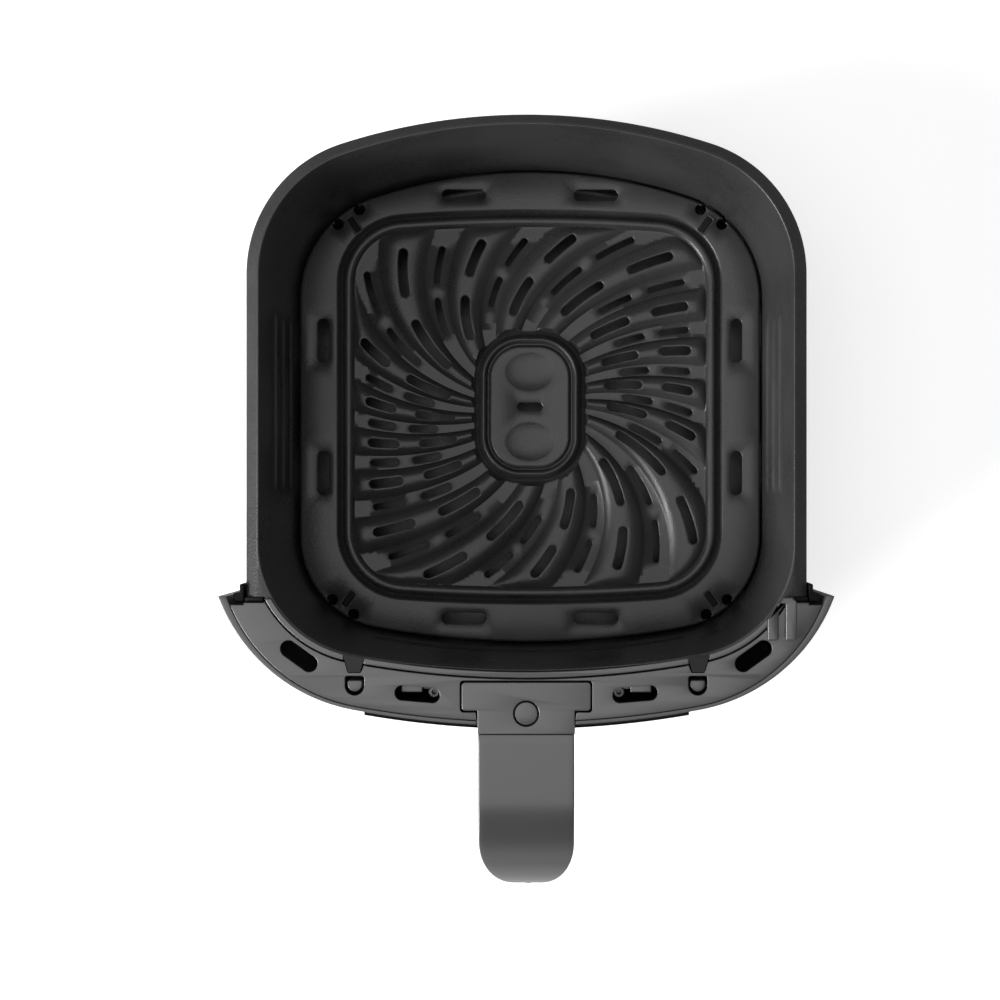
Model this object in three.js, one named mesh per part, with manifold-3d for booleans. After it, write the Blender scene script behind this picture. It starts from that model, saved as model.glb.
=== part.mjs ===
// Drawer of a basket air fryer: coated pan, fluted crisper plate that lifts out, plastic front and handle.
// Millimetres. +Z up, the handle points to -Y. The origin is on the underside of the pan, on the pan's axis.
import * as THREE from "three";
import { mergeVertices } from "three/addons/utils/BufferGeometryUtils.js";
import Module from "manifold-3d";

const wasm = await Module();
wasm.setup();

// ---------------------------------------------------------------- driving dimensions

const gap = 0.3; // between pieces that touch
const overshoot = 2; // how far a cutting solid runs past what it cuts
const bite = 0.5; // how deep a joined-on feature starts inside its carrier

// Rounded outlines: straight sides, round corners, front and rear edges that bow outwards.
const opening = {
  halfX: 120.4,
  rear: { y: 122.9, corner: 57.5, bow: 253 },
  front: { y: 122.9, corner: 51, bow: 430 },
};
const rimZ = 106; // top of the pan's rim
const sideX = opening.halfX;
const frontY = -opening.front.y; // the front edge of the opening, which the whole front is placed from

const flangeEdge = {
  halfX: sideX + 6.6,
  rear: { y: opening.rear.y + 5.3, corner: opening.rear.corner + 4.5, bow: opening.rear.bow + 21 },
  front: { y: opening.front.y + 5.3, corner: 20, bow: 900 },
};
const frontRear = { y: 60, corner: 20, bow: 900 }; // a rear end that the front's outlines are cut off before
const shellEdge = {
  halfX: sideX + 23.2,
  rear: frontRear,
  front: { y: opening.front.y + 25.2, corner: opening.front.corner + 29, bow: opening.front.bow },
};
const deckEdge = {
  halfX: sideX + 18.3,
  rear: frontRear,
  front: { y: opening.front.y + 23.2, corner: opening.front.corner + 24, bow: opening.front.bow },
};
const fieldEnd = { y: opening.rear.y - 30.9, corner: 27, bow: 900 };
const field = { halfX: sideX - 30.7, rear: fieldEnd, front: fieldEnd };

const pan = { wall: 1.5, floor: 1.6, lean: 0.036, bottomRadius: 5 };
const flange = { drop: 4, slope: 6, skirt: 1.6, frontY: frontY + 33, lip: 3.4 };
const wallRib = { count: 3, length: 85, height: 2.4, proud: 0.8, firstDepth: 30, pitch: 16 };

const plate = { topZ: 28, thickness: 4, edgeGap: 1.5, recess: 2.2 };
const border = { bead: 4, beadProud: 0.8, groove: 3.3, grooveDepth: 1.2 };
const rimSlot = { length: 22.3, width: 5.8, along: 33.4, inset: 11.8 };
const swirl = { count: 17, stretch: 1.4, start: 194.4, twist: 0.497, unwind: 0.00031, land: 7.2 };
const flute = { proud: 0.9, steps: 6, slotWidth: 4.4, slots: [[0.17, 0.5], [0.63, 0.9]] };
const land = { slotWidth: 3.2, slots: [[0.32, 0.57], [0.65, 0.89]] };
const hub = { width: 52.5, length: 73.5, corner: 22, proud: 1.0 };
const hubRing = { width: 47.4, length: 69, corner: 20, proud: 2.6 };
const hubPlateau = { width: 39.2, length: 61.8, corner: 16, proud: 1.5 };
const hubDish = { halfX: 12.9, halfY: 10.1, depth: 1.2, centreY: 17.6 };
const hubSlot = { length: 12.8, width: 4.1 };
const cornerTab = { angle: 55, spacing: 13, headRadius: 2.6, headInset: 3.2, neck: 1.6 };
const bumper = { width: 3.8, depth: 9, proud: 0.6, inset: 8.2, footWidth: 13, footDepth: 7, footInset: 9 };

const deck = { topZ: rimZ + 0.8, thickness: 2.2, rimOffset: 4.2, rearY: flange.frontY - 2.8 };
const shell = { bottomZ: 6, tipY: flange.frontY + 0.2, lean: 4, floor: 2.2, floorGap: 1.2 };
const liner = { thickness: 2, bottomZ: 8.8 };
const fascia = { halfX: 74, bottomZ: 30, topZ: rimZ - 8, thickness: 2.9 };
const retainer = { inner: 0.9, outer: 3.7, thickness: 0.9, rearY: flange.frontY - 1.1 };
const cornerSlot = { x: sideX - 18.2, y: frontY + 6.2, length: 18.9, width: 7.6, angle: 36 };
const innerSlot = { x: 49, y: frontY - 10.9, length: 20.3, width: 6.8, angle: 5 };
const hookWindow = { x: 77.2, rearY: frontY - 2.7, length: 8.7, width: 8.6 };
const hook = { width: 7, rearGap: 1.9, length: 5.4, bottomZ: rimZ - 20, topDrop: 0.9 };
const deckClip = {
  barX: innerSlot.x + 2.7,
  barLength: 9.7,
  barDepth: 3.4,
  bossX: innerSlot.x - 7.2,
  bossY: innerSlot.y + 0.4,
  boss: 2.6,
};
const deckClipZ = { bottom: rimZ - 16, top: rimZ - 2.4, web: rimZ - 11 };
const cornerSeal = { innerX: sideX - 1.8, outerX: flangeEdge.halfX - 0.2, bottomZ: rimZ - 8, topZ: rimZ - 0.6 };
const sideGuide = {
  innerX: flangeEdge.halfX + 0.4,
  outerX: flangeEdge.halfX + 5.4,
  postWidth: 2,
  rearY: flange.frontY + 5.6,
  shoulderY: flange.frontY + 1.6,
  notch: 1,
};
const sideGuideZ = { bottom: rimZ - 18, top: rimZ - 1.4 };
const interlock = { x: sideX - 5.6, width: 13.1, rearGap: 0.2, length: 19.4, rib: 5, bridge: 3.2, height: 1.7 };

const bracket = {
  halfX: 92,
  bottomZ: 42,
  topZ: rimZ - 7.8,
  thickness: 1.5,
  ledgeHalfX: 24,
  ledgeFrontY: frontY - 21.1,
};
const tongue = { x: 77.3, rearHalf: 5.6, frontHalf: 2.6, stemHalf: 2.4, stemInner: 3.8, frontY: frontY - 0.9, tip: 1.1 };

const root = {
  headHalfX: 29,
  rearY: frontY - 5.6,
  headFrontY: frontY - 18.3,
  stemHalfX: 21.9,
  frontY: frontY - 28.9,
};
const rootZ = { top: rimZ + 1, bottom: rimZ - 4.2 };
const grip = {
  startY: root.frontY - gap,
  flatY: root.frontY - 29.7,
  reach: 48,
  drop: 46,
  bottomZ: 26,
  tuck: 5,
  halfX: 21.6,
  cornerDepth: 28,
  outer: 7,
  inner: 14,
};
const core = { halfX: 12, outer: 5.5, rearY: root.rearY - 2.5, endShort: 14 };
const cap = { radius: 5.4, thickness: 1.4, y: root.rearY - 14 };
const handleScrew = { headRadius: 4, headThickness: 2.2, shankRadius: 2, bottomZ: rimZ - 14 };
const gripScrew = {
  heights: [rimZ - 34, rimZ - 60],
  headRadius: 3.4,
  headThickness: 2,
  shankRadius: 1.6,
  length: 9.5,
};
const shellScrew = {
  x: 60,
  y: frontY - 8.6,
  headRadius: 3.4,
  headThickness: 1.6,
  shankRadius: 1.6,
  topZ: 22,
  boss: 3.6,
};

const curveSteps = 5; // points per arc, halved
const degree = Math.PI / 180;

// ---------------------------------------------------------------- solids and outlines

// A closed three.js geometry as a manifold-3d solid.
function solid(geometry) {
  const bare = geometry.clone();
  bare.deleteAttribute("normal");
  bare.deleteAttribute("uv");
  const merged = mergeVertices(bare, 1e-4);
  const index = Array.from(merged.index.array);
  const kept = [];
  for (let i = 0; i < index.length; i += 3) {
    const [a, b, c] = index.slice(i, i + 3);
    if (a !== b && b !== c && c !== a) kept.push(a, b, c);
  }
  const build = (triangles) =>
    new wasm.Manifold(
      new wasm.Mesh({
        numProp: 3,
        vertProperties: merged.attributes.position.array,
        triVerts: new Uint32Array(triangles),
      }),
    );
  const made = build(kept);
  return made.volume() > 0 ? made : build(kept.reverse());
}

function prism(shape, bottomZ, topZ, curveSegments = curveSteps) {
  const settings = { depth: topZ - bottomZ, bevelEnabled: false, curveSegments };
  return solid(new THREE.ExtrudeGeometry(shape, settings).translate(0, 0, bottomZ));
}

// An outline drawn in the YZ plane, extruded along X on both sides of the middle.
function sideways(shape, halfX) {
  const geometry = new THREE.ExtrudeGeometry(shape, { depth: 2 * halfX, bevelEnabled: false, curveSegments: 8 });
  const turn = new THREE.Matrix4().makeBasis(
    new THREE.Vector3(0, 1, 0),
    new THREE.Vector3(0, 0, 1),
    new THREE.Vector3(1, 0, 0),
  );
  return solid(geometry.translate(0, 0, -halfX).applyMatrix4(turn));
}

function block(low, high) {
  const size = high.map((value, i) => value - low[i]);
  const centre = high.map((value, i) => (value + low[i]) / 2);
  return solid(new THREE.BoxGeometry(...size).translate(...centre));
}

function cylinder(x, y, bottomZ, topZ, radius, sides = 20) {
  const geometry = new THREE.CylinderGeometry(radius, radius, topZ - bottomZ, sides);
  return solid(geometry.rotateX(Math.PI / 2).translate(x, y, (bottomZ + topZ) / 2));
}

function mirrored(geometrySolid) {
  return geometrySolid.mirror([1, 0, 0]);
}

const sum = (solids) => solids.reduce((all, one) => all.add(one));

// One end of a bowed outline: centres of its corner and bow arcs, and the angle where they meet.
function endArcs(halfX, end, offset) {
  const corner = end.corner + offset;
  const bow = end.bow + offset;
  const cornerX = halfX + offset - corner;
  const bowY = end.y + offset - bow;
  const cornerY = bowY + Math.sqrt((bow - corner) ** 2 - cornerX ** 2);
  return { corner, bow, cornerX, cornerY, bowY, angle: Math.atan2(cornerY - bowY, cornerX) };
}

// The points of an arc from one angle to another, without its last point.
function arcPoints(x, y, radius, from, to, steps = 2 * curveSteps) {
  const points = [];
  for (let i = 0; i < steps; i++) {
    const angle = from + ((to - from) * i) / steps;
    points.push(new THREE.Vector2(x + radius * Math.cos(angle), y + radius * Math.sin(angle)));
  }
  return points;
}

// The points of a bowed outline moved outwards by offset. All offsets of one outline have matching points.
function bowedPoints(spec, offset) {
  const rear = endArcs(spec.halfX, spec.rear, offset);
  const front = endArcs(spec.halfX, spec.front, offset);
  const turn = 2 * Math.PI;
  return [
    ...arcPoints(rear.cornerX, rear.cornerY, rear.corner, 0, rear.angle),
    ...arcPoints(0, rear.bowY, rear.bow, rear.angle, Math.PI - rear.angle),
    ...arcPoints(-rear.cornerX, rear.cornerY, rear.corner, Math.PI - rear.angle, Math.PI),
    new THREE.Vector2(-spec.halfX - offset, rear.cornerY),
    ...arcPoints(-front.cornerX, -front.cornerY, front.corner, Math.PI, Math.PI + front.angle),
    ...arcPoints(0, -front.bowY, front.bow, Math.PI + front.angle, turn - front.angle),
    ...arcPoints(front.cornerX, -front.cornerY, front.corner, turn - front.angle, turn),
    new THREE.Vector2(spec.halfX + offset, -front.cornerY),
  ];
}

const bowed = (spec, offset = 0) => new THREE.Shape(bowedPoints(spec, offset));

function roundedRect(width, length, corner) {
  const x = width / 2 - corner;
  const y = length / 2 - corner;
  const shape = new THREE.Shape();
  shape.absarc(x, y, corner, 0, Math.PI / 2);
  shape.absarc(-x, y, corner, Math.PI / 2, Math.PI);
  shape.absarc(-x, -y, corner, Math.PI, 1.5 * Math.PI);
  shape.absarc(x, -y, corner, 1.5 * Math.PI, 2 * Math.PI);
  return shape;
}

// A slot with round ends along X, turned by angle and placed at x, y.
function slotPrism(length, width, angle, x, y, bottomZ, topZ) {
  const shape = roundedRect(length, width, width / 2 - 0.01);
  const geometry = new THREE.ExtrudeGeometry(shape, {
    depth: topZ - bottomZ,
    bevelEnabled: false,
    curveSegments: 2,
  });
  return solid(geometry.rotateZ(angle * degree).translate(x, y, bottomZ));
}

// A closed solid through matching rings of points, its two ends closed onto the rings' middles.
function loft(rings) {
  const stations = rings[0].length;
  const middle = (ring) => ring.reduce((total, p) => total.add(p), new THREE.Vector3()).divideScalar(stations);
  const first = rings[0].map(() => middle(rings[0]));
  const last = rings[0].map(() => middle(rings.at(-1)));
  const grid = [first, ...rings, last];
  const geometry = new THREE.LatheGeometry(grid.map((_, row) => new THREE.Vector2(1, row)), stations);
  for (let i = 0; i <= stations; i++)
    grid.forEach((ring, row) => {
      const p = ring[i % stations];
      geometry.attributes.position.setXYZ(i * grid.length + row, p.x, p.y, p.z);
    });
  return solid(geometry);
}

// A bowed outline lofted through levels of [offset, z].
function tapered(spec, levels) {
  return loft(levels.map(([offset, z]) => bowedPoints(spec, offset).map((p) => new THREE.Vector3(p.x, p.y, z))));
}

const half = 400; // larger than the object, for cutting planes
const inFrontOf = (y, bottomZ = -half, topZ = half) => block([-half, -half, bottomZ], [half, y, topZ]);
const leftHalf = block([-half, -half, -half], [0, half, half]);
const between = (halfX) => block([-halfX, -half, -half], [halfX, half, half]);

// ---------------------------------------------------------------- the pan

// Offset of the pan's inner wall from the opening at a height.
const wallOffset = (z) => -pan.lean * (rimZ - z);

// The levels of a pan-shaped solid with a rounded bottom edge.
function panLevels(bottomZ, extra, topZ) {
  const radius = pan.bottomRadius;
  const levels = [0, 30, 60, 90].map((angle) => {
    const z = bottomZ + radius * (1 - Math.cos(angle * degree));
    return [wallOffset(z) + extra - radius * (1 - Math.sin(angle * degree)), z];
  });
  return [...levels, [wallOffset(topZ) + extra, topZ]];
}

function makeFlange() {
  const outer = tapered(flangeEdge, [
    [0, rimZ - flange.drop - flange.skirt],
    [0, rimZ - flange.drop],
    [-flange.slope, rimZ],
  ]);
  const under = tapered(flangeEdge, [
    [-pan.wall, rimZ - flange.drop - flange.skirt - overshoot],
    [-pan.wall, rimZ - flange.drop - gap],
    [-flange.slope - pan.wall / 2, rimZ - pan.wall],
  ]);
  const sides = outer.subtract(under).subtract(inFrontOf(flange.frontY));
  const front = prism(bowed(opening, flange.lip), rimZ - pan.wall, rimZ).intersect(inFrontOf(flange.frontY + bite));
  return sides.add(front);
}

function makeWallRibs() {
  const ribs = [];
  for (let i = 0; i < wallRib.count; i++) {
    const z = rimZ - wallRib.firstDepth - i * wallRib.pitch;
    const inner = opening.halfX + wallOffset(z) - wallRib.proud;
    const low = [inner, -wallRib.length / 2, z - wallRib.height / 2];
    const high = [inner + wallRib.proud + pan.wall / 2, wallRib.length / 2, z + wallRib.height / 2];
    const rib = block(low, high);
    ribs.push(rib, mirrored(rib));
  }
  return sum(ribs);
}

function makePan() {
  const outside = tapered(opening, panLevels(0, pan.wall, rimZ));
  const inside = tapered(opening, panLevels(pan.floor, 0, rimZ + overshoot));
  return outside.add(makeFlange()).subtract(inside).add(makeWallRibs());
}

// ---------------------------------------------------------------- the crisper plate

const plateBottomZ = plate.topZ - plate.thickness;
const landZ = plate.topZ - plate.recess;
const plateOffset = wallOffset(plate.topZ) - plate.edgeGap;
const pitchAngle = 360 / swirl.count;

// A point of the swirl: turn counts pitches, r is the distance from the axis before the stretch along X.
function swirlPoint(turn, r) {
  const angle = (swirl.start - turn * pitchAngle - swirl.twist * r + swirl.unwind * r * r) * degree;
  return new THREE.Vector2(swirl.stretch * r * Math.cos(angle), r * Math.sin(angle));
}

const insideField = (p) => {
  const x = Math.abs(p.x) - (field.halfX - field.rear.corner);
  const y = Math.abs(p.y) - (field.rear.y - field.rear.corner);
  return x <= 0 || y <= 0 ? x <= field.rear.corner && y <= field.rear.corner : Math.hypot(x, y) <= field.rear.corner;
};
const insideHub = (p) => {
  const x = Math.max(Math.abs(p.x) - (hub.width / 2 - hub.corner), 0);
  const y = Math.max(Math.abs(p.y) - (hub.length / 2 - hub.corner), 0);
  return Math.hypot(x, y) <= hub.corner;
};

// How far out a line of the swirl leaves the hub and meets the border of the field.
function swirlSpan(turn) {
  const step = 0.25;
  let inner = 5;
  while (insideHub(swirlPoint(turn, inner))) inner += step;
  let outer = inner;
  while (insideField(swirlPoint(turn, outer + step))) outer += step;
  return { inner, outer };
}

// A slot that follows the swirl from one share of the span to another.
function swirlSlot(turn, [from, to], width) {
  const { inner, outer } = swirlSpan(turn);
  const at = (share) => swirlPoint(turn, inner + share * (outer - inner));
  const pad = width / 2 / (outer - inner);
  const count = 2;
  const middle = [];
  for (let i = 0; i <= count; i++) middle.push(at(from + pad + ((to - from - 2 * pad) * i) / count));
  const side = (sign, list) =>
    list.map((p, i) => {
      const ahead = middle[Math.min(i + 1, count)];
      const behind = middle[Math.max(i - 1, 0)];
      const along = ahead.clone().sub(behind).normalize();
      return new THREE.Vector2(p.x - (sign * along.y * width) / 2, p.y + (sign * along.x * width) / 2);
    });
  const roundEnd = (centre, start) => {
    const radius = start.clone().sub(centre);
    return [60, 120].map((angle) => radius.clone().rotateAround(new THREE.Vector2(), -angle * degree).add(centre));
  };
  const left = side(1, middle);
  const right = side(-1, middle).reverse();
  const outline = [
    ...left,
    ...roundEnd(middle[count], left[count]),
    ...right,
    ...roundEnd(middle[0], right[count]),
  ];
  return prism(new THREE.Shape(outline), plateBottomZ - overshoot, plate.topZ + flute.proud + overshoot);
}

// A raised rib of the swirl between two lands, buried a little in the plate, the hub and the border.
function makeFlute(turn) {
  const { inner, outer } = swirlSpan(turn);
  const halfTurn = (0.5 * (pitchAngle - swirl.land)) / pitchAngle;
  const section = [[-1, 0], [-0.62, 0.72], [0, 1], [0.62, 0.72], [1, 0]];
  const rise = plate.recess + flute.proud;
  const rings = [];
  for (let i = 0; i <= flute.steps; i++) {
    const r = inner - 4 + ((outer + 12 - (inner - 4)) * i) / flute.steps;
    const across = section.map(([side, height]) => {
      const p = swirlPoint(turn + side * halfTurn, r);
      return new THREE.Vector3(p.x, p.y, landZ + height * rise);
    });
    const foot = [1, -1].map((side) => {
      const p = swirlPoint(turn + side * halfTurn, r);
      return new THREE.Vector3(p.x, p.y, landZ - bite);
    });
    rings.push([...across, ...foot]);
  }
  return loft(rings);
}

function makeHub() {
  const step = ({ width, length, corner }, topZ) => prism(roundedRect(width, length, corner), landZ - bite, topZ, 4);
  const pocket = prism(
    roundedRect(hubPlateau.width, hubPlateau.length, hubPlateau.corner),
    plate.topZ + hubPlateau.proud,
    plate.topZ + hubRing.proud + overshoot,
    4,
  );
  const dish = (y) =>
    solid(
      new THREE.SphereGeometry(1, 14, 8)
        .scale(hubDish.halfX, hubDish.halfY, hubDish.depth)
        .translate(0, y, plate.topZ + hubPlateau.proud),
    );
  return step(hub, plate.topZ + hub.proud)
    .add(step(hubRing, plate.topZ + hubRing.proud))
    .subtract(pocket)
    .subtract(dish(hubDish.centreY))
    .subtract(dish(-hubDish.centreY));
}

// Centre, outward angle and the middle of the arc of a plate corner, where its tab and bumper are.
function plateCorner(signX, signY) {
  const end = endArcs(opening.halfX, signY > 0 ? opening.rear : opening.front, plateOffset);
  return {
    centre: new THREE.Vector2(signX * end.cornerX, signY * end.cornerY),
    radius: end.corner,
    angle: signX > 0 ? signY * cornerTab.angle : 180 - signY * cornerTab.angle,
  };
}

// Moves a solid made at the origin, with +X outwards, to a plate corner, inset from the plate's edge.
function atCorner(made, corner, inset) {
  const reach = corner.radius - inset;
  const x = corner.centre.x + reach * Math.cos(corner.angle * degree);
  const y = corner.centre.y + reach * Math.sin(corner.angle * degree);
  return made.rotate([0, 0, corner.angle]).translate([x, y, 0]);
}

const plateCorners = [
  ["rear_left", plateCorner(-1, 1)],
  ["rear_right", plateCorner(1, 1)],
  ["front_left", plateCorner(-1, -1)],
  ["front_right", plateCorner(1, -1)],
];

function cornerCuts(corner) {
  const bottom = plateBottomZ - overshoot;
  const top = plate.topZ + overshoot;
  const notch = (y) =>
    cylinder(0, y, bottom, top, cornerTab.headRadius, 12).add(
      block([0, y - cornerTab.neck / 2, bottom], [cornerTab.headInset + overshoot, y + cornerTab.neck / 2, top]),
    );
  const notches = notch(cornerTab.spacing / 2).add(notch(-cornerTab.spacing / 2));
  const hole = block(
    [-bumper.depth / 2 - gap, -bumper.width / 2 - gap, bottom],
    [bumper.depth / 2 + gap, bumper.width / 2 + gap, top],
  );
  return atCorner(notches, corner, cornerTab.headInset).add(atCorner(hole, corner, bumper.inset));
}

function rimSlots() {
  const edge = { x: opening.halfX + plateOffset - rimSlot.inset, y: opening.rear.y + plateOffset - rimSlot.inset };
  const slots = [];
  for (const side of [-1, 1])
    for (const along of [-rimSlot.along, rimSlot.along]) {
      const span = [plateBottomZ - overshoot, plate.topZ + overshoot];
      slots.push(slotPrism(rimSlot.length, rimSlot.width, 0, along, side * edge.y, ...span));
      slots.push(slotPrism(rimSlot.length, rimSlot.width, 90, side * edge.x, along, ...span));
    }
  return sum(slots);
}

function makePlate() {
  const sheet = prism(bowed(opening, plateOffset), plateBottomZ, plate.topZ);
  const recess = prism(bowed(field), landZ, plate.topZ + overshoot);
  const beadOuter = (top) => prism(bowed(field, border.bead), landZ, top);
  const channel = prism(
    bowed(field, border.bead + border.groove),
    plate.topZ - border.grooveDepth,
    plate.topZ + overshoot,
  ).subtract(beadOuter(plate.topZ + overshoot));
  const bead = beadOuter(plate.topZ + border.beadProud).subtract(recess);
  const turns = Array.from({ length: swirl.count }, (_, k) => k);
  const flutes = sum(turns.map((k) => makeFlute(k + 0.5))).intersect(
    prism(bowed(field, border.bead / 2), landZ - bite, plate.topZ + overshoot),
  );
  const cuts = turns.flatMap((k) => [
    ...land.slots.map((span) => swirlSlot(k, span, land.slotWidth)),
    ...flute.slots.map((span) => swirlSlot(k + 0.5, span, flute.slotWidth)),
  ]);
  const hubCut = slotPrism(
    hubSlot.length,
    hubSlot.width,
    0,
    0,
    0,
    plateBottomZ - overshoot,
    plate.topZ + hubRing.proud + overshoot,
  );
  return sheet
    .subtract(recess)
    .subtract(channel)
    .add(bead)
    .add(flutes)
    .subtract(sum(cuts))
    .add(makeHub())
    .subtract(hubCut)
    .subtract(rimSlots())
    .subtract(sum(plateCorners.map(([, corner]) => cornerCuts(corner))));
}

// A silicone foot: a stem through the plate with a low head, and a block that stands on the pan's floor.
function makeBumper(corner) {
  const stem = block(
    [-bumper.depth / 2, -bumper.width / 2, plateBottomZ - gap - bite],
    [bumper.depth / 2, bumper.width / 2, plate.topZ + bumper.proud],
  );
  const foot = block(
    [-bumper.footDepth / 2, -bumper.footWidth / 2, pan.floor + gap],
    [bumper.footDepth / 2, bumper.footWidth / 2, plateBottomZ - gap],
  );
  return atCorner(stem, corner, bumper.inset).add(atCorner(foot, corner, bumper.footInset));
}

// ---------------------------------------------------------------- the front

const mirroredPair = (made) => made.add(mirrored(made));

// A wall along the front of the pan, between two offsets of a bowed outline.
function frontWall(spec, innerOffset, outerOffset, bottomZ, topZ, rearY) {
  return prism(bowed(spec, outerOffset), bottomZ, topZ)
    .subtract(prism(bowed(spec, innerOffset), bottomZ - overshoot, topZ + overshoot))
    .intersect(inFrontOf(rearY));
}

function tongueShape(extra) {
  const shape = new THREE.Shape();
  const rearY = -opening.front.y + 9;
  shape.moveTo(-tongue.rearHalf - extra, rearY);
  shape.lineTo(-tongue.frontHalf - extra, tongue.frontY - extra);
  shape.lineTo(tongue.frontHalf + extra, tongue.frontY - extra);
  shape.lineTo(tongue.rearHalf + extra, rearY);
  return shape;
}

function tonguePrism(extra, bottomZ, topZ) {
  return prism(tongueShape(extra), bottomZ, topZ).translate([tongue.x, 0, 0]);
}

function rootShape(extra) {
  const shape = new THREE.Shape();
  shape.moveTo(-root.headHalfX - extra, root.rearY + extra);
  shape.lineTo(-root.headHalfX - extra, root.headFrontY - extra);
  shape.lineTo(-root.stemHalfX - extra, root.headFrontY - extra);
  shape.lineTo(-root.stemHalfX - extra, root.frontY);
  shape.lineTo(root.stemHalfX + extra, root.frontY);
  shape.lineTo(root.stemHalfX + extra, root.headFrontY - extra);
  shape.lineTo(root.headHalfX + extra, root.headFrontY - extra);
  shape.lineTo(root.headHalfX + extra, root.rearY + extra);
  return shape;
}

function windowShape(width, rearY, length) {
  const radius = width / 2;
  const shape = new THREE.Shape();
  shape.moveTo(radius, rearY);
  shape.lineTo(-radius, rearY);
  shape.absarc(0, rearY - length + radius, radius, Math.PI, 2 * Math.PI);
  return shape;
}

const deckBottomZ = deck.topZ - deck.thickness;

function makeDeck() {
  const span = [deckBottomZ - overshoot, deck.topZ + overshoot];
  const body = prism(bowed(deckEdge), deckBottomZ, deck.topZ)
    .intersect(inFrontOf(deck.rearY))
    .subtract(prism(bowed(opening, deck.rimOffset), ...span));
  const holes = [
    slotPrism(cornerSlot.length, cornerSlot.width, cornerSlot.angle, cornerSlot.x, cornerSlot.y, ...span),
    slotPrism(innerSlot.length, innerSlot.width, innerSlot.angle, innerSlot.x, innerSlot.y, ...span),
    prism(windowShape(hookWindow.width, hookWindow.rearY, hookWindow.length), ...span).translate([hookWindow.x, 0, 0]),
    tonguePrism(gap, ...span),
  ];
  const guideNotch = block(
    [sideGuide.innerX - gap, deck.rearY - sideGuide.notch, span[0]],
    [half, deck.rearY + overshoot, span[1]],
  );
  return body
    .subtract(mirroredPair(sum(holes)))
    .subtract(mirroredPair(guideNotch))
    .subtract(prism(rootShape(gap), ...span));
}

// How far the front leans inwards at a height: most of it in its lower half.
const shellMidZ = (shell.bottomZ + deck.topZ) / 2;
const shellLean = (z) =>
  z < shellMidZ
    ? (-shell.lean / 3) * (1 + (2 * (shellMidZ - z)) / (shellMidZ - shell.bottomZ))
    : ((-shell.lean / 3) * (deck.topZ - z)) / (deck.topZ - shellMidZ);

// A solid with the front's lean, between two heights, at an offset from an outline.
function leaning(spec, offset, bottomZ, topZ) {
  const heights = [bottomZ, ...(bottomZ < shellMidZ && topZ > shellMidZ ? [shellMidZ] : []), topZ];
  return tapered(spec, heights.map((z) => [offset + shellLean(z), z]));
}

function makeShell() {
  const outer = leaning(shellEdge, 0, shell.bottomZ, deck.topZ);
  const inner = leaning(deckEdge, gap, shell.bottomZ - overshoot, deck.topZ + overshoot);
  const wall = outer.subtract(inner).intersect(inFrontOf(shell.tipY));
  const floorOffset = deck.rimOffset + liner.thickness + shell.floorGap;
  const floor = outer
    .intersect(inFrontOf(deck.rearY - liner.thickness - shell.floorGap, shell.bottomZ, shell.bottomZ + shell.floor))
    .subtract(prism(bowed(opening, floorOffset), shell.bottomZ - overshoot, shell.bottomZ + shell.floor + overshoot));
  const handleNotch = block(
    [-root.stemHalfX - gap, -half, bracket.topZ - gap],
    [root.stemHalfX + gap, root.rearY, deck.topZ + overshoot],
  );
  const screwHole = cylinder(
    shellScrew.x,
    shellScrew.y,
    shell.bottomZ - overshoot,
    shell.bottomZ + shell.floor + overshoot,
    shellScrew.shankRadius + gap,
    12,
  );
  return wall.add(floor).subtract(handleNotch).subtract(mirroredPair(screwHole));
}

function makeLiner() {
  const topZ = deckBottomZ - gap;
  const outer = deck.rimOffset + liner.thickness;
  const curved = frontWall(opening, deck.rimOffset, outer, liner.bottomZ, topZ, deck.rearY);
  const wing = block(
    [opening.halfX - overshoot, deck.rearY - liner.thickness, liner.bottomZ],
    [half, deck.rearY, topZ],
  ).intersect(leaning(deckEdge, 0, liner.bottomZ - overshoot, topZ + overshoot));
  const wings = mirroredPair(wing).subtract(
    prism(bowed(opening, deck.rimOffset), liner.bottomZ - overshoot, topZ + overshoot),
  );
  const boss = cylinder(shellScrew.x, shellScrew.y, shell.bottomZ + shell.floor + gap, shellScrew.topZ + 3, shellScrew.boss, 16);
  const web = block(
    [shellScrew.x - 1, shellScrew.y + 1, shell.bottomZ + shell.floor + gap],
    [shellScrew.x + 1, -opening.front.y - outer + 6, shellScrew.topZ],
  ).subtract(prism(bowed(opening, deck.rimOffset + bite), 0, topZ));
  const bore = cylinder(shellScrew.x, shellScrew.y, 0, shellScrew.topZ + gap, shellScrew.shankRadius + gap, 12);
  const window = block(
    [-bracket.ledgeHalfX - 1, -half, bracket.topZ - bracket.thickness - 1],
    [bracket.ledgeHalfX + 1, 0, topZ + overshoot],
  );
  const tongueWindow = block(
    [tongue.x - tongue.stemHalf - 1, -half, bracket.topZ - bracket.thickness - 1],
    [tongue.x + tongue.stemHalf + 1, 0, topZ + overshoot],
  );
  return curved
    .add(wings)
    .add(mirroredPair(boss.add(web)))
    .subtract(mirroredPair(bore))
    .subtract(window)
    .subtract(mirroredPair(tongueWindow));
}

function makeFascia() {
  return leaning(shellEdge, gap + fascia.thickness, fascia.bottomZ, fascia.topZ)
    .subtract(leaning(shellEdge, gap, fascia.bottomZ - overshoot, fascia.topZ + overshoot))
    .intersect(between(fascia.halfX))
    .intersect(inFrontOf(shell.tipY));
}

function makeRetainer() {
  const bottomZ = rimZ + gap;
  const strip = frontWall(opening, retainer.inner, retainer.outer, bottomZ, bottomZ + retainer.thickness, retainer.rearY);
  return strip.subtract(mirroredPair(tonguePrism(gap, rimZ, deck.topZ + overshoot)));
}

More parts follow.
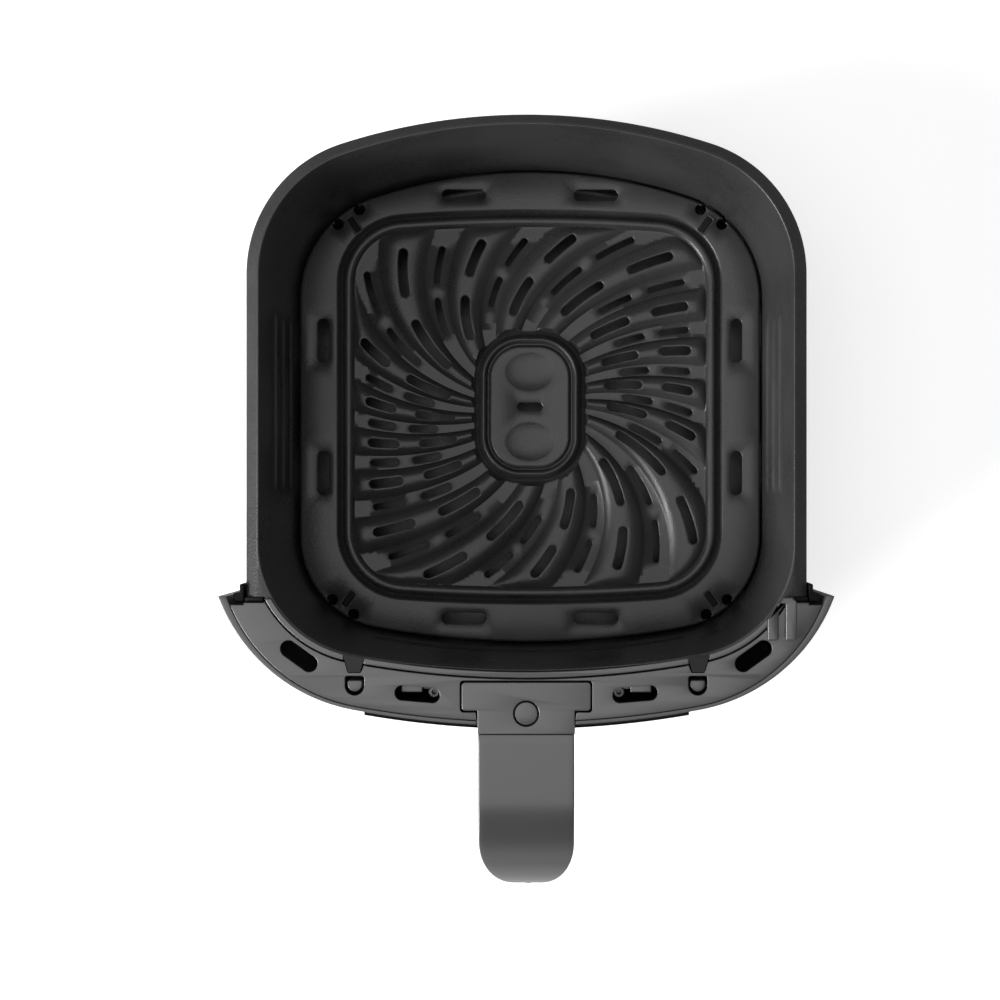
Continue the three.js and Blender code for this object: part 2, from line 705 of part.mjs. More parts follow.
function makeHook() {
  const shape = windowShape(hook.width, hookWindow.rearY - hook.rearGap, hook.length);
  return prism(shape, hook.bottomZ, deck.topZ - hook.topDrop).translate([hookWindow.x, 0, 0]);
}

function makeDeckClip() {
  const face = prism(bowed(opening, deck.rimOffset + liner.thickness + gap), 0, rimZ + overshoot);
  const bar = block(
    [deckClip.barX - deckClip.barLength / 2, deckClip.bossY, deckClipZ.bottom],
    [deckClip.barX + deckClip.barLength / 2, deckClip.bossY + deckClip.barDepth + 4, deckClipZ.top],
  );
  const web = block(
    [deckClip.bossX, deckClip.bossY, deckClipZ.bottom],
    [deckClip.barX, deckClip.bossY + deckClip.barDepth + 4, deckClipZ.web],
  );
  const boss = cylinder(deckClip.bossX, deckClip.bossY, deckClipZ.bottom, deckClipZ.top - 1, deckClip.boss, 16);
  return bar.add(web).subtract(face).add(boss);
}

function makeCornerSeal() {
  return block(
    [cornerSeal.innerX, deck.rearY + gap, cornerSeal.bottomZ],
    [cornerSeal.outerX, flange.frontY - gap, cornerSeal.topZ],
  );
}

function makeSideGuide() {
  const foot = block(
    [sideGuide.innerX, deck.rearY + gap, sideGuideZ.bottom],
    [sideGuide.outerX, sideGuide.shoulderY, sideGuideZ.top],
  );
  const post = block(
    [sideGuide.innerX, deck.rearY + gap, sideGuideZ.bottom],
    [sideGuide.innerX + sideGuide.postWidth, sideGuide.rearY, sideGuideZ.top],
  );
  return foot.add(post);
}

function makeInterlock() {
  const left = interlock.x - interlock.width / 2;
  const right = interlock.x + interlock.width / 2;
  const rear = flange.frontY - interlock.rearGap;
  const front = rear - interlock.length;
  const bottomZ = rimZ + 2 * gap + retainer.thickness;
  const topZ = bottomZ + interlock.height;
  const rib = (x) => block([x, front, bottomZ], [x + interlock.rib, rear, topZ]);
  const bridge = block([left, rear - interlock.bridge, bottomZ], [right, rear, topZ]);
  const pad = (x) => block([x, front, deck.topZ + gap], [x + interlock.rib, front + interlock.rib, bottomZ + bite]);
  return sum([rib(left), rib(right - interlock.rib), bridge, pad(left), pad(right - interlock.rib)]).subtract(
    prism(bowed(opening, retainer.inner), rimZ, topZ + overshoot),
  );
}

// ---------------------------------------------------------------- the bracket

// A steel plate on the pan's front wall, with a ledge under the handle and two tongues over the rim.
function makeBracket() {
  const reach = pan.wall + gap;
  const skin = (offset) =>
    tapered(opening, [
      [wallOffset(bracket.bottomZ) + offset, bracket.bottomZ],
      [wallOffset(bracket.topZ) + offset, bracket.topZ],
    ]);
  const hollow = tapered(opening, [
    [wallOffset(bracket.bottomZ - overshoot) + reach, bracket.bottomZ - overshoot],
    [wallOffset(rimZ) + reach, rimZ],
  ]);
  const sheet = skin(reach + bracket.thickness).intersect(inFrontOf(0)).intersect(between(bracket.halfX));
  const ledgeZ = bracket.topZ - bracket.thickness;
  const ledge = block([-bracket.ledgeHalfX, bracket.ledgeFrontY, ledgeZ], [bracket.ledgeHalfX, -60, bracket.topZ]);
  const stemOuter = tongue.stemInner + bracket.thickness;
  const strip = between(tongue.stemHalf).translate([tongue.x, 0, 0]);
  const shelf = prism(bowed(opening, stemOuter), ledgeZ, bracket.topZ).intersect(strip);
  const tipZ = rimZ + gap;
  const stem = prism(bowed(opening, stemOuter), ledgeZ, tipZ + bite)
    .subtract(prism(bowed(opening, tongue.stemInner), 0, half))
    .intersect(strip);
  const tip = tonguePrism(0, tipZ, tipZ + tongue.tip).subtract(prism(bowed(opening, retainer.inner), 0, half));
  const upper = shelf.add(stem).intersect(inFrontOf(-60)).add(tip);
  const screwHole = cylinder(0, cap.y, ledgeZ - overshoot, bracket.topZ + overshoot, handleScrew.shankRadius + gap, 16);
  return sheet.add(ledge).subtract(hollow).add(mirroredPair(upper).subtract(hollow)).subtract(screwHole);
}

// ---------------------------------------------------------------- the handle

// The handle's outer line in the YZ plane with its inward normals: flat, then down in an elliptic bend.
function gripLine(endZ) {
  const points = [];
  points.push({ y: grip.startY, z: rootZ.top, ny: 0, nz: -1 });
  const steps = 12;
  for (let i = 0; i <= steps; i++) {
    const a = ((Math.PI / 2) * i) / steps;
    const ny = Math.sin(a) / grip.reach;
    const nz = -Math.cos(a) / grip.drop;
    const size = Math.hypot(ny, nz);
    points.push({
      y: grip.flatY - grip.reach * Math.sin(a),
      z: rootZ.top - grip.drop * (1 - Math.cos(a)),
      ny: ny / size,
      nz: nz / size,
    });
  }
  const bendZ = rootZ.top - grip.drop;
  const share = (bendZ - endZ) / (bendZ - grip.bottomZ);
  points.push({ y: grip.flatY - grip.reach + share * grip.tuck, z: endZ, ny: 1, nz: 0 });
  return points;
}

// The outline between two depths below the handle's outer line.
function gripStrip(outerDepth, innerDepth, startY, endZ) {
  const line = gripLine(endZ);
  line[0].y = startY;
  const at = (depth) => line.map((p) => new THREE.Vector2(p.y + p.ny * depth, p.z + p.nz * depth));
  return new THREE.Shape([...at(outerDepth), ...at(innerDepth).reverse()]);
}

// The handle seen from above, with an elliptic far end.
function gripPlan(extra = 0) {
  const shape = new THREE.Shape();
  const endY = grip.flatY - grip.reach - extra;
  const x = grip.halfX + extra;
  shape.moveTo(x, 0);
  shape.lineTo(-x, 0);
  shape.absellipse(0, endY + grip.cornerDepth, x, grip.cornerDepth, Math.PI, 2 * Math.PI);
  return shape;
}

// A screw along Y in the grip, its head in a counterbore of the inner half.
function gripScrewAt(z, extra) {
  const innerY = grip.flatY - grip.reach + grip.inner;
  const head = new THREE.CylinderGeometry(
    gripScrew.headRadius + extra,
    gripScrew.headRadius + extra,
    gripScrew.headThickness + extra + (extra > 0 ? 8 : 0),
    16,
  );
  const shank = new THREE.CylinderGeometry(
    gripScrew.shankRadius + extra,
    gripScrew.shankRadius + extra,
    gripScrew.length + 2 * extra,
    12,
  );
  const headMiddle = innerY - 1.5 - gripScrew.headThickness / 2 + (extra > 0 ? 4 - extra / 2 : 0);
  const shankMiddle = innerY - 1.5 - gripScrew.headThickness + bite - gripScrew.length / 2;
  return solid(head.translate(0, headMiddle, z)).add(solid(shank.translate(0, shankMiddle, z)));
}

const gripHoles = () => sum(gripScrew.heights.map((z) => gripScrewAt(z, gap)));

function makeGripUpper() {
  const body = sideways(gripStrip(0, grip.outer, grip.startY, grip.bottomZ), grip.halfX).intersect(
    prism(gripPlan(), 0, rootZ.top + overshoot, 8),
  );
  const pocketEnd = grip.bottomZ + core.endShort - 1;
  const pocket = sideways(gripStrip(core.outer - gap, grip.outer + 1, 0, pocketEnd), core.halfX + gap);
  return body.subtract(pocket).subtract(gripHoles());
}

function makeGripLower() {
  return sideways(gripStrip(grip.outer + gap, grip.inner, grip.startY, grip.bottomZ), grip.halfX)
    .intersect(prism(gripPlan(), 0, rootZ.top + overshoot, 8))
    .subtract(gripHoles());
}

function makeCore() {
  const strip = sideways(gripStrip(core.outer, grip.outer, core.rearY, grip.bottomZ + core.endShort), core.halfX);
  const hole = cylinder(0, cap.y, 0, rimZ + overshoot, handleScrew.shankRadius + gap, 16);
  return strip.subtract(hole).subtract(gripHoles());
}

function makeRoot() {
  const body = prism(rootShape(0), rootZ.bottom, rootZ.top);
  const capPocket = cylinder(0, cap.y, rootZ.top - cap.thickness - gap, rootZ.top + overshoot, cap.radius + gap, 28);
  const headPocket = cylinder(
    0,
    cap.y,
    rootZ.top - cap.thickness - gap - handleScrew.headThickness - 2 * gap,
    rootZ.top,
    handleScrew.headRadius + gap,
    20,
  );
  const shank = cylinder(0, cap.y, rootZ.bottom - overshoot, rootZ.top, handleScrew.shankRadius + gap, 16);
  return body.subtract(capPocket).subtract(headPocket).subtract(shank);
}

function makeHandleScrew() {
  const topZ = rootZ.top - cap.thickness - 2 * gap;
  const headBottom = topZ - handleScrew.headThickness;
  return cylinder(0, cap.y, headBottom, topZ, handleScrew.headRadius).add(
    cylinder(0, cap.y, handleScrew.bottomZ, headBottom + bite, handleScrew.shankRadius, 16),
  );
}

function makeShellScrew() {
  const headTop = shell.bottomZ - gap;
  return cylinder(
    shellScrew.x,
    shellScrew.y,
    headTop - shellScrew.headThickness,
    headTop,
    shellScrew.headRadius,
    16,
  ).add(cylinder(shellScrew.x, shellScrew.y, headTop - bite, shellScrew.topZ, shellScrew.shankRadius, 12));
}

// ---------------------------------------------------------------- the assembly

const finishes = {
  coatedSteel: { color: 0x2a2a2b, roughness: 0.35, metalness: 0.4 },
  greyPlastic: { color: 0x6b6b6b, roughness: 0.5, metalness: 0 },
  blackPlastic: { color: 0x1b1b1c, roughness: 0.45, metalness: 0 },
  glossBlack: { color: 0x101011, roughness: 0.15, metalness: 0 },
  silicone: { color: 0x161617, roughness: 0.7, metalness: 0 },
  steel: { color: 0x9a9b9d, roughness: 0.35, metalness: 0.9 },
  darkSteel: { color: 0x3a3a3b, roughness: 0.45, metalness: 0.7 },
};

const drawer = new THREE.Group();

function place(name, made, finish) {
  const { vertProperties, triVerts, numProp } = made.getMesh();
  const geometry = new THREE.BufferGeometry();
  geometry.setAttribute("position", new THREE.BufferAttribute(new Float32Array(vertProperties), numProp));
  geometry.setIndex(new THREE.BufferAttribute(new Uint32Array(triVerts), 1));
  geometry.computeVertexNormals();
  const mesh = new THREE.Mesh(geometry, new THREE.MeshStandardMaterial(finishes[finish]));
  mesh.name = name;
  drawer.add(mesh);
}

function placePair(name, made, finish) {
  place(`${name}_right`, made, finish);
  place(`${name}_left`, mirrored(made), finish);
}

place("pan", makePan(), "coatedSteel");
place("crisper_plate", makePlate(), "coatedSteel");
for (const [where, corner] of plateCorners) place(`plate_bumper_${where}`, makeBumper(corner), "silicone");
place("front_shell", makeShell(), "greyPlastic");
place("front_deck", makeDeck(), "greyPlastic");
place("front_liner", makeLiner(), "blackPlastic");
place("front_fascia", makeFascia(), "glossBlack");
place("rim_retainer_middle", makeRetainer().intersect(between(tongue.x)), "greyPlastic");
placePair("rim_retainer", makeRetainer().subtract(between(tongue.x)).subtract(leftHalf), "greyPlastic");
place("pan_bracket", makeBracket(), "darkSteel");
placePair("snap_hook", makeHook(), "greyPlastic");
placePair("deck_clip", makeDeckClip(), "greyPlastic");
placePair("corner_seal", makeCornerSeal(), "silicone");
placePair("side_guide", makeSideGuide(), "blackPlastic");
placePair("shell_screw", makeShellScrew(), "steel");
place("interlock_key", makeInterlock(), "greyPlastic");
place("handle_root", makeRoot(), "greyPlastic");
place("handle_upper", makeGripUpper(), "greyPlastic");
place("handle_lower", makeGripLower(), "greyPlastic");
place("handle_core", makeCore(), "steel");
place("handle_screw", makeHandleScrew(), "steel");
place("handle_screw_cap", cylinder(0, cap.y, rootZ.top - cap.thickness, rootZ.top, cap.radius, 28), "greyPlastic");
gripScrew.heights.forEach((z, i) => place(`grip_screw_${i + 1}`, gripScrewAt(z, 0), "steel"));

export default drawer;
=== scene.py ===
"""Looks of the air fryer drawer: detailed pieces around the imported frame, procedural materials, studio and camera.

Lengths are in millimetres until a mesh is made; +Z up, the handle points to -Y.
"""

import math

import bmesh
import bpy
import numpy as np
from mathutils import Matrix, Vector
from mathutils.geometry import delaunay_2d_cdt, tessellate_polygon


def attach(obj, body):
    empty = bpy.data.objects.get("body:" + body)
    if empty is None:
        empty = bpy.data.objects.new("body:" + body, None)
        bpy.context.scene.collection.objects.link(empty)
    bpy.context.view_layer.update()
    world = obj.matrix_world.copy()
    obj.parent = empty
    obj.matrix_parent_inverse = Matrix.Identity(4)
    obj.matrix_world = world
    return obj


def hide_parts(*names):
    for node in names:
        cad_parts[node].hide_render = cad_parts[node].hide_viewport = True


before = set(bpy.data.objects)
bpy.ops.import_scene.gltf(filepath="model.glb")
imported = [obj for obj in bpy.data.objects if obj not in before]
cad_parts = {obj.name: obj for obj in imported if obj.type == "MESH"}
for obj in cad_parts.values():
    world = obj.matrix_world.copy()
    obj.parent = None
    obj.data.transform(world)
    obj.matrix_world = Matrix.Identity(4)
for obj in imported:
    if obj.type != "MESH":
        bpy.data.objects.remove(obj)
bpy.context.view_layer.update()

MM = 0.001
GAP = 0.3
# Angles in degrees over which an edge is shaded sharp.
SHARP = 32
SOFT_SHARP = 40
GRIP_SHARP = 42
SHEET_SHARP = 55
PAN_SHARP = 50

# ---------------------------------------------------------------- sizes shared with the frame

OPENING = {"half_x": 120.4, "rear": (122.9, 57.5, 253), "front": (122.9, 51, 430)}
FLANGE_EDGE = {"half_x": 127, "rear": (128.2, 62, 274), "front": (128.2, 20, 900)}
SHELL_EDGE = {"half_x": 143.6, "rear": (60, 20, 900), "front": (148.1, 80, 430)}
DECK_EDGE = {"half_x": 138.7, "rear": (60, 20, 900), "front": (146.1, 75, 430)}
FIELD = {"half_x": 89.7, "rear": (92, 27, 900), "front": (92, 27, 900)}

RIM_Z = 106
WALL = 1.5
FLOOR = 1.6
WALL_LEAN = 0.036
FLANGE_FRONT_Y = -89.9
DECK_TOP = 106.8
DECK_THICK = 2.2
DECK_REAR_Y = -92.7
DECK_INSET = 4.2
SEAL_NOTCH = 127.1
SHELL_BOTTOM = 6
SHELL_TIP_Y = -89.7
ROOT_TOP = 107
ROOT_STEM = 21.9
ROOT_BAR = 29
ROOT_STEP_Y = -141.2
ROOT_REAR_Y = -128.5
ROOT_SLOT = ROOT_STEM + GAP
CAP_Y = -142.5
SHELL_SCREW = (60, -131.5)

PLATE_TOP = 28
PLATE_OFFSET = -WALL_LEAN * (RIM_Z - PLATE_TOP) - 1.5
PLATE_SHEET = 1.1
EDGE_ROLL = 1.2
HOLE_ROLL = 0.4
SWIRL_COUNT = 17
SWIRL_PITCH = 360 / SWIRL_COUNT
SWIRL_START = 194.4
SWIRL_TWIST = 0.497
SWIRL_CURL = 0.00031
SWIRL_STRETCH = 1.4
LAND_ANGLE = 7.2
FLUTE_HALF = 0.5 * (SWIRL_PITCH - LAND_ANGLE) / SWIRL_PITCH
LAND_Z = -2.2
FLUTE_HEIGHT = 3.6
HUB = (52.5, 73.5, 22)
HUB_TOP = 1.5
MOAT_Z = -3.4
MOAT_EDGE = 0.9
DISH_X, DISH_Y, DISH_PLACE = 12.9, 10.1, 17.6

HANDLE_Y = -181.5
HANDLE_REACH = 48
HANDLE_DROP = 46
HANDLE_BOTTOM = 26
HANDLE_HALF = 21.6
HANDLE_END = 28

# ---------------------------------------------------------------- outlines


def end_arcs(spec, end, offset):
    """Corner and bow arcs of one end of a bowed outline, and the angle where they meet."""
    y, corner, bow = spec[end]
    half_x = spec["half_x"]
    corner += offset
    bow += offset
    corner_x = half_x + offset - corner
    bow_y = y + offset - bow
    corner_y = bow_y + math.sqrt((bow - corner) ** 2 - corner_x**2)
    return corner, bow, corner_x, corner_y, bow_y, math.atan2(corner_y - bow_y, corner_x)


def arc(x, y, radius, start, stop, count):
    angles = start + (stop - start) * np.arange(count) / count
    return np.column_stack([x + radius * np.cos(angles), y + radius * np.sin(angles)])


def outline(spec, offset=0.0, corner_steps=18, bow_steps=40, side_steps=40):
    """Points of a bowed outline moved outwards, from the rear right corner round by the left. Offsets match."""
    corner_r, bow_r, cx_r, cy_r, by_r, angle_r = end_arcs(spec, "rear", offset)
    corner_f, bow_f, cx_f, cy_f, by_f, angle_f = end_arcs(spec, "front", offset)
    side = spec["half_x"] + offset
    down = cy_r + (-cy_f - cy_r) * np.arange(side_steps) / side_steps
    up = -cy_f + (cy_r + cy_f) * np.arange(side_steps) / side_steps
    half, turn = math.pi, 2 * math.pi
    return np.concatenate([
        arc(cx_r, cy_r, corner_r, 0, angle_r, corner_steps),
        arc(0, by_r, bow_r, angle_r, half - angle_r, bow_steps),
        arc(-cx_r, cy_r, corner_r, half - angle_r, half, corner_steps),
        np.column_stack([np.full(side_steps, -side), down]),
        arc(-cx_f, -cy_f, corner_f, half, half + angle_f, corner_steps),
        arc(0, -by_f, bow_f, half + angle_f, turn - angle_f, bow_steps),
        arc(cx_f, -cy_f, corner_f, turn - angle_f, turn, corner_steps),
        np.column_stack([np.full(side_steps, side), up]),
    ])


def bowed_distance(spec, x, y):
    """Distance outwards from a bowed outline, negative inside, near the outline."""
    ax = np.abs(x)
    result = np.empty_like(x)
    for end, sign in (("rear", 1), ("front", -1)):
        corner, bow, cx, cy, by, angle = end_arcs(spec, end, 0)
        part = (y * sign) >= 0
        px, py = ax[part], (y * sign)[part]
        side = px - spec["half_x"]
        in_bow = np.hypot(px, py - by) - bow
        in_corner = np.hypot(px - cx, py - cy) - corner
        steep = np.arctan2(py - by, px) >= angle
        inner = np.maximum(side, in_bow)
        result[part] = np.where(py < cy, side, np.where(steep, in_bow, np.where(px < cx, inner, in_corner)))
    return result


def rounded_distance(size, x, y):
    """Distance outwards from a rectangle with round corners, negative inside."""
    width, length, corner = size
    dx = np.abs(x) - (width / 2 - corner)
    dy = np.abs(y) - (length / 2 - corner)
    return np.hypot(np.maximum(dx, 0), np.maximum(dy, 0)) + np.minimum(np.maximum(dx, dy), 0) - corner


def rounded_rect(width, length, corner, steps=10):
    x, y = width / 2 - corner, length / 2 - corner
    quarter = math.pi / 2
    corners = [(x, y), (-x, y), (-x, -y), (x, -y)]
    return np.concatenate([
        arc(cx, cy, corner, i * quarter, (i + 1) * quarter, steps + 1) for i, (cx, cy) in enumerate(corners)
    ])


def turned(points, degrees, x=0.0, y=0.0):
    a = math.radians(degrees)
    c, s = math.cos(a), math.sin(a)
    return points @ np.array([[c, s], [-s, c]]) + np.array([x, y])


def filleted(corners):
    """A polygon with round corners. Each corner is (x, y, radius)."""
    points = []
    count = len(corners)
    for i, (x, y, radius) in enumerate(corners):
        here = np.array([x, y], float)
        before = np.array(corners[i - 1][:2], float) - here
        after = np.array(corners[(i + 1) % count][:2], float) - here
        before /= np.linalg.norm(before)
        after /= np.linalg.norm(after)
        half = math.acos(np.clip(before @ after, -1, 1)) / 2
        if radius <= 0 or half > 1.55:
            points.append(here)
            continue
        reach = radius / math.tan(half)
        middle = here + (before + after) / np.linalg.norm(before + after) * radius / math.sin(half)
        start, stop = here + before * reach - middle, here + after * reach - middle
        a0, a1 = math.atan2(start[1], start[0]), math.atan2(stop[1], stop[0])
        sweep = (a1 - a0 + math.pi) % (2 * math.pi) - math.pi
        for k in range(7):
            a = a0 + sweep * k / 6
            points.append(middle + radius * np.array([math.cos(a), math.sin(a)]))
    return np.array(points)


def clipped(points, a, b, c):
    """The part of an open polyline where a x + b y <= c, with exact ends."""
    side = points @ np.array([a, b], float) - c
    kept = []
    for i in range(len(points)):
        if i and (side[i] <= 0) != (side[i - 1] <= 0):
            share = side[i - 1] / (side[i - 1] - side[i])
            kept.append(points[i - 1] + share * (points[i] - points[i - 1]))
        if side[i] <= 0:
            kept.append(points[i])
    return np.array(kept)


def front_line(spec, offset, rear_y):
    """The front part of a bowed outline from left to right, cut at rear_y."""
    points = outline(spec, offset, corner_steps=30, bow_steps=60)
    first_left = int(np.argmax((points[:, 0] < 0) & (points[:, 1] < 0)))
    rolled = np.roll(points, -first_left, axis=0)
    return clipped(rolled[rolled[:, 1] < 0], 0, 1, rear_y)


# ---------------------------------------------------------------- meshes


def place_object(name, data, location=(0, 0, 0)):
    obj = bpy.data.objects.new(name, data)
    obj.location = location
    bpy.context.scene.collection.objects.link(obj)
    return obj


def make_object(name, verts, faces, kind, sharp=SHARP):
    """A shaded mesh object. kind holds its body, slot and material."""
    body, slot, material = kind
    mesh = bpy.data.meshes.new(name)
    mesh.from_pydata([tuple(v) for v in np.asarray(verts, float) * MM], [], faces)
    bm = bmesh.new()
    bm.from_mesh(mesh)
    bmesh.ops.remove_doubles(bm, verts=bm.verts, dist=1e-7)
    bmesh.ops.recalc_face_normals(bm, faces=bm.faces)
    bm.to_mesh(mesh)
    bm.free()
    obj = place_object(name, mesh)
    mesh.materials.append(material)
    shade(mesh, sharp)
    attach(obj, body)
    return obj


def shade(mesh, sharp):
    mesh.polygons.foreach_set("use_smooth", [True] * len(mesh.polygons))
    mesh.set_sharp_from_angle(angle=math.radians(sharp))


def bake_modifiers(obj, sharp):
    """Applies the modifiers of an object to its mesh."""
    graph = bpy.context.evaluated_depsgraph_get()
    mesh = bpy.data.meshes.new_from_object(obj.evaluated_get(graph))
    materials = list(obj.data.materials)
    obj.modifiers.clear()
    obj.data = mesh
    mesh.materials.clear()
    for material in materials:
        mesh.materials.append(material)
    shade(mesh, sharp)


def ring_faces(rows, columns, closed_rows):
    faces = []
    last = rows if closed_rows else rows - 1
    for i in range(last):
        k = (i + 1) % rows
        for j in range(columns):
            n = (j + 1) % columns
            faces.append((i * columns + j, i * columns + n, k * columns + n, k * columns + j))
    return faces


def with_z(points, z):
    return np.column_stack([points, np.full(len(points), z) if np.isscalar(z) else z])


def loft(name, rings, kind, closed=False, sharp=SHARP):
    """A solid through matching rings. Open profiles are closed with a face at each end."""
    count = len(rings[0])
    faces = ring_faces(len(rings), count, closed)
    if not closed:
        faces.append(tuple(range(count)))
        faces.append(tuple(range((len(rings) - 1) * count, len(rings) * count)))
    return make_object(name, np.concatenate(rings), faces, kind, sharp)


def slice_mesh(obj, point, normal):
    """Cuts off what lies on the side the normal points to, and closes the cut."""
    bm = bmesh.new()
    bm.from_mesh(obj.data)
    geometry = bm.verts[:] + bm.edges[:] + bm.faces[:]
    co = Vector(point) * MM
    bmesh.ops.bisect_plane(bm, geom=geometry, dist=1e-7, plane_co=co, plane_no=Vector(normal), clear_outer=True)
    rim = [e for e in bm.edges if len(e.link_faces) == 1]
    bmesh.ops.holes_fill(bm, edges=rim, sides=0)
    bmesh.ops.recalc_face_normals(bm, faces=bm.faces)
    bm.to_mesh(obj.data)
    bm.free()
    shade(obj.data, SOFT_SHARP)


def carve(obj, cutter, sharp=SOFT_SHARP):
    """Takes the cutter's shape out of an object and removes the cutter."""
    modifier = obj.modifiers.new("cut", "BOOLEAN")
    modifier.object = cutter
    modifier.operation = "DIFFERENCE"
    modifier.solver = "EXACT"
    bake_modifiers(obj, sharp)
    bpy.data.objects.remove(cutter)


def soften(obj, width, angle=40, sharp=SOFT_SHARP):
    """Rounds the sharp edges of an object."""
    modifier = obj.modifiers.new("round", "BEVEL")
    modifier.width = width * MM
    modifier.segments = 2
    modifier.limit_method = "ANGLE"
    modifier.angle_limit = math.radians(angle)
    bake_modifiers(obj, sharp)


def unit(vectors):
    return vectors / np.maximum(np.linalg.norm(vectors, axis=1, keepdims=True), 1e-9)


def loop_normals(points):
    """Inward normals of a closed anticlockwise loop, with miter lengths."""
    ahead = unit(np.roll(points, -1, axis=0) - points)
    left = np.column_stack([-ahead[:, 1], ahead[:, 0]])
    total = unit(left + np.roll(left, 1, axis=0))
    cosine = np.clip(np.sum(total * left, axis=1, keepdims=True), 0.35, 1)
    return total / cosine


def round_off(radius, degrees):
    """Insets and drops along a rounded edge, from its side at 0 degrees to its top at 90."""
    return [(radius * (1 - math.cos(a)), radius * (1 - math.sin(a))) for a in np.radians(degrees)]


def area_sign(points):
    ahead = np.roll(points, -1, axis=0)
    return np.sum(points[:, 0] * ahead[:, 1] - ahead[:, 0] * points[:, 1])


def slab(name, loops, bottom, top, kind, edge=0.4, bottom_edge=0.15):
    """A flat piece with rounded top edges. loops holds the outline, then any holes."""
    verts, faces, top_loops, bottom_loops = [], [], [], []
    for index, loop in enumerate(loops):
        points = np.asarray(loop, float)
        if (area_sign(points) > 0) != (index == 0):
            points = points[::-1]
        inward = loop_normals(points)
        profile = [(inset, top - drop) for inset, drop in round_off(edge, (90, 60, 30, 0))]
        profile += [(inset, bottom + rise) for inset, rise in round_off(bottom_edge, (0, 45, 90))]
        rings = [with_z(points + inward * inset, z) for inset, z in profile]
        base = sum(len(v) for v in verts)
        count = len(points)
        for i in range(len(rings) - 1):
            for j in range(count):
                n = (j + 1) % count
                a = base + i * count
                faces.append((a + j, a + count + j, a + count + n, a + n))
        top_loops.append((base, rings[0]))
        bottom_loops.append((base + (len(rings) - 1) * count, rings[-1]))
        verts.extend(rings)
    for group in (top_loops, bottom_loops):
        index_map = [start + k for start, ring in group for k in range(len(ring))]
        triangles = tessellate_polygon([[Vector((p[0], p[1], 0)) for p in ring] for _, ring in group])
        faces.extend(tuple(index_map[k] for k in t) for t in triangles)
    return make_object(name, np.concatenate(verts), faces, kind)


def lathe(name, profile, centre, kind, steps=40):
    """A round solid about a vertical axis from a profile of (radius, z), closed on the axis."""
    angles = 2 * math.pi * np.arange(steps) / steps
    rings = [
        np.column_stack([centre[0] + r * np.cos(angles), centre[1] + r * np.sin(angles), np.full(steps, z)])
        for r, z in profile
    ]
    return loft(name, rings, kind)


def mirror_points(points):
    return np.asarray(points) * np.array([-1, 1])


def by_x(line, sign=1):
    """A line's points in order of x, or from right to left for sign -1."""
    return line[np.argsort(sign * line[:, 0])]


def mirrored(corners):
    """The same corners on the other side, in the opposite order."""
    return [(-x, y, radius) for x, y, radius in reversed(corners)]


SIDES = (("right", 1), ("left", -1))

# ---------------------------------------------------------------- materials


def node(tree, kind, links=None, **settings):
    made = tree.nodes.new(kind)
    for key, value in settings.items():
        setattr(made, key, value)
    for key, value in (links or {}).items():
        if isinstance(value, bpy.types.NodeSocket):
            tree.links.new(value, made.inputs[key])
        else:
            made.inputs[key].default_value = value
    return made


def new_material(name, setting, value):
    """A material with one setting of its shader, and the object's own coordinates."""
    material = bpy.data.materials.new(name)
    material.use_nodes = True
    tree = material.node_tree
    shader = tree.nodes["Principled BSDF"]
    shader.inputs[setting].default_value = value
    return material, tree, shader.inputs, node(tree, "ShaderNodeTexCoord").outputs["Object"]


def shades(colour, spread):
    """A darker and a lighter shade of a colour."""
    return [(*[min(1, c * share) for c in colour], 1) for share in spread]


def noise(tree, place, scale, detail, roughness=0.5):
    settings = {"Vector": place, "Scale": scale, "Detail": detail, "Roughness": roughness}
    return node(tree, "ShaderNodeTexNoise", settings).outputs[0]


def grainy(name, colour, roughness, grain, depth, colour_spread=0.12, rough_spread=0.08, specular=0.5, wear=0.0):
    """A coated or moulded surface: fine grain in the relief, soft mottling in colour and gloss.

    grain is the size of one bump in millimetres and depth its height."""
    material, tree, inputs, place = new_material(name, "Specular IOR Level", specular)
    fine = noise(tree, place, 1 / (grain * MM), 3.0, 0.55)
    cells = node(tree, "ShaderNodeTexVoronoi", {"Vector": place, "Scale": 0.8 / (grain * MM)}, feature="SMOOTH_F1")
    broad = noise(tree, place, 28.0, 4.0, 0.6)
    relief = node(tree, "ShaderNodeMath", {0: fine, 1: cells.outputs["Distance"]}, operation="ADD")
    bump = node(tree, "ShaderNodeBump", {"Strength": 1.0, "Distance": depth * MM, "Height": relief.outputs[0]})
    tree.links.new(bump.outputs[0], inputs["Normal"])
    mottle = node(tree, "ShaderNodeMath", {0: broad, 1: 0.6}, operation="MULTIPLY")
    speck = node(tree, "ShaderNodeMath", {0: fine, 1: 0.4, 2: mottle.outputs[0]}, operation="MULTIPLY_ADD").outputs[0]
    ramp = node(tree, "ShaderNodeValToRGB", {"Fac": speck})
    ends = zip(ramp.color_ramp.elements, (0.3, 0.7), shades(colour, (1 - colour_spread, 1 + colour_spread)))
    for element, position, shade_colour in ends:
        element.position = position
        element.color = shade_colour
    tint = ramp.outputs[0]
    if wear:
        spots = noise(tree, place, 420.0, 6.0, 0.75)
        rare = node(tree, "ShaderNodeMapRange", {"Value": spots, "From Min": 0.66, "From Max": 0.74, "To Max": wear})
        bare = (*[min(1, c * 2.4 + 0.02) for c in colour], 1)
        mixed = {"Factor": rare.outputs[0], "A": tint, "B": bare}
        tint = node(tree, "ShaderNodeMix", mixed, data_type="RGBA").outputs["Result"]
    tree.links.new(tint, inputs["Base Color"])
    gloss = node(tree, "ShaderNodeMapRange", {"Value": speck, "From Min": 0.3, "From Max": 0.7,
                                              "To Min": roughness - rough_spread, "To Max": roughness + rough_spread})
    tree.links.new(gloss.outputs[0], inputs["Roughness"])
    return material


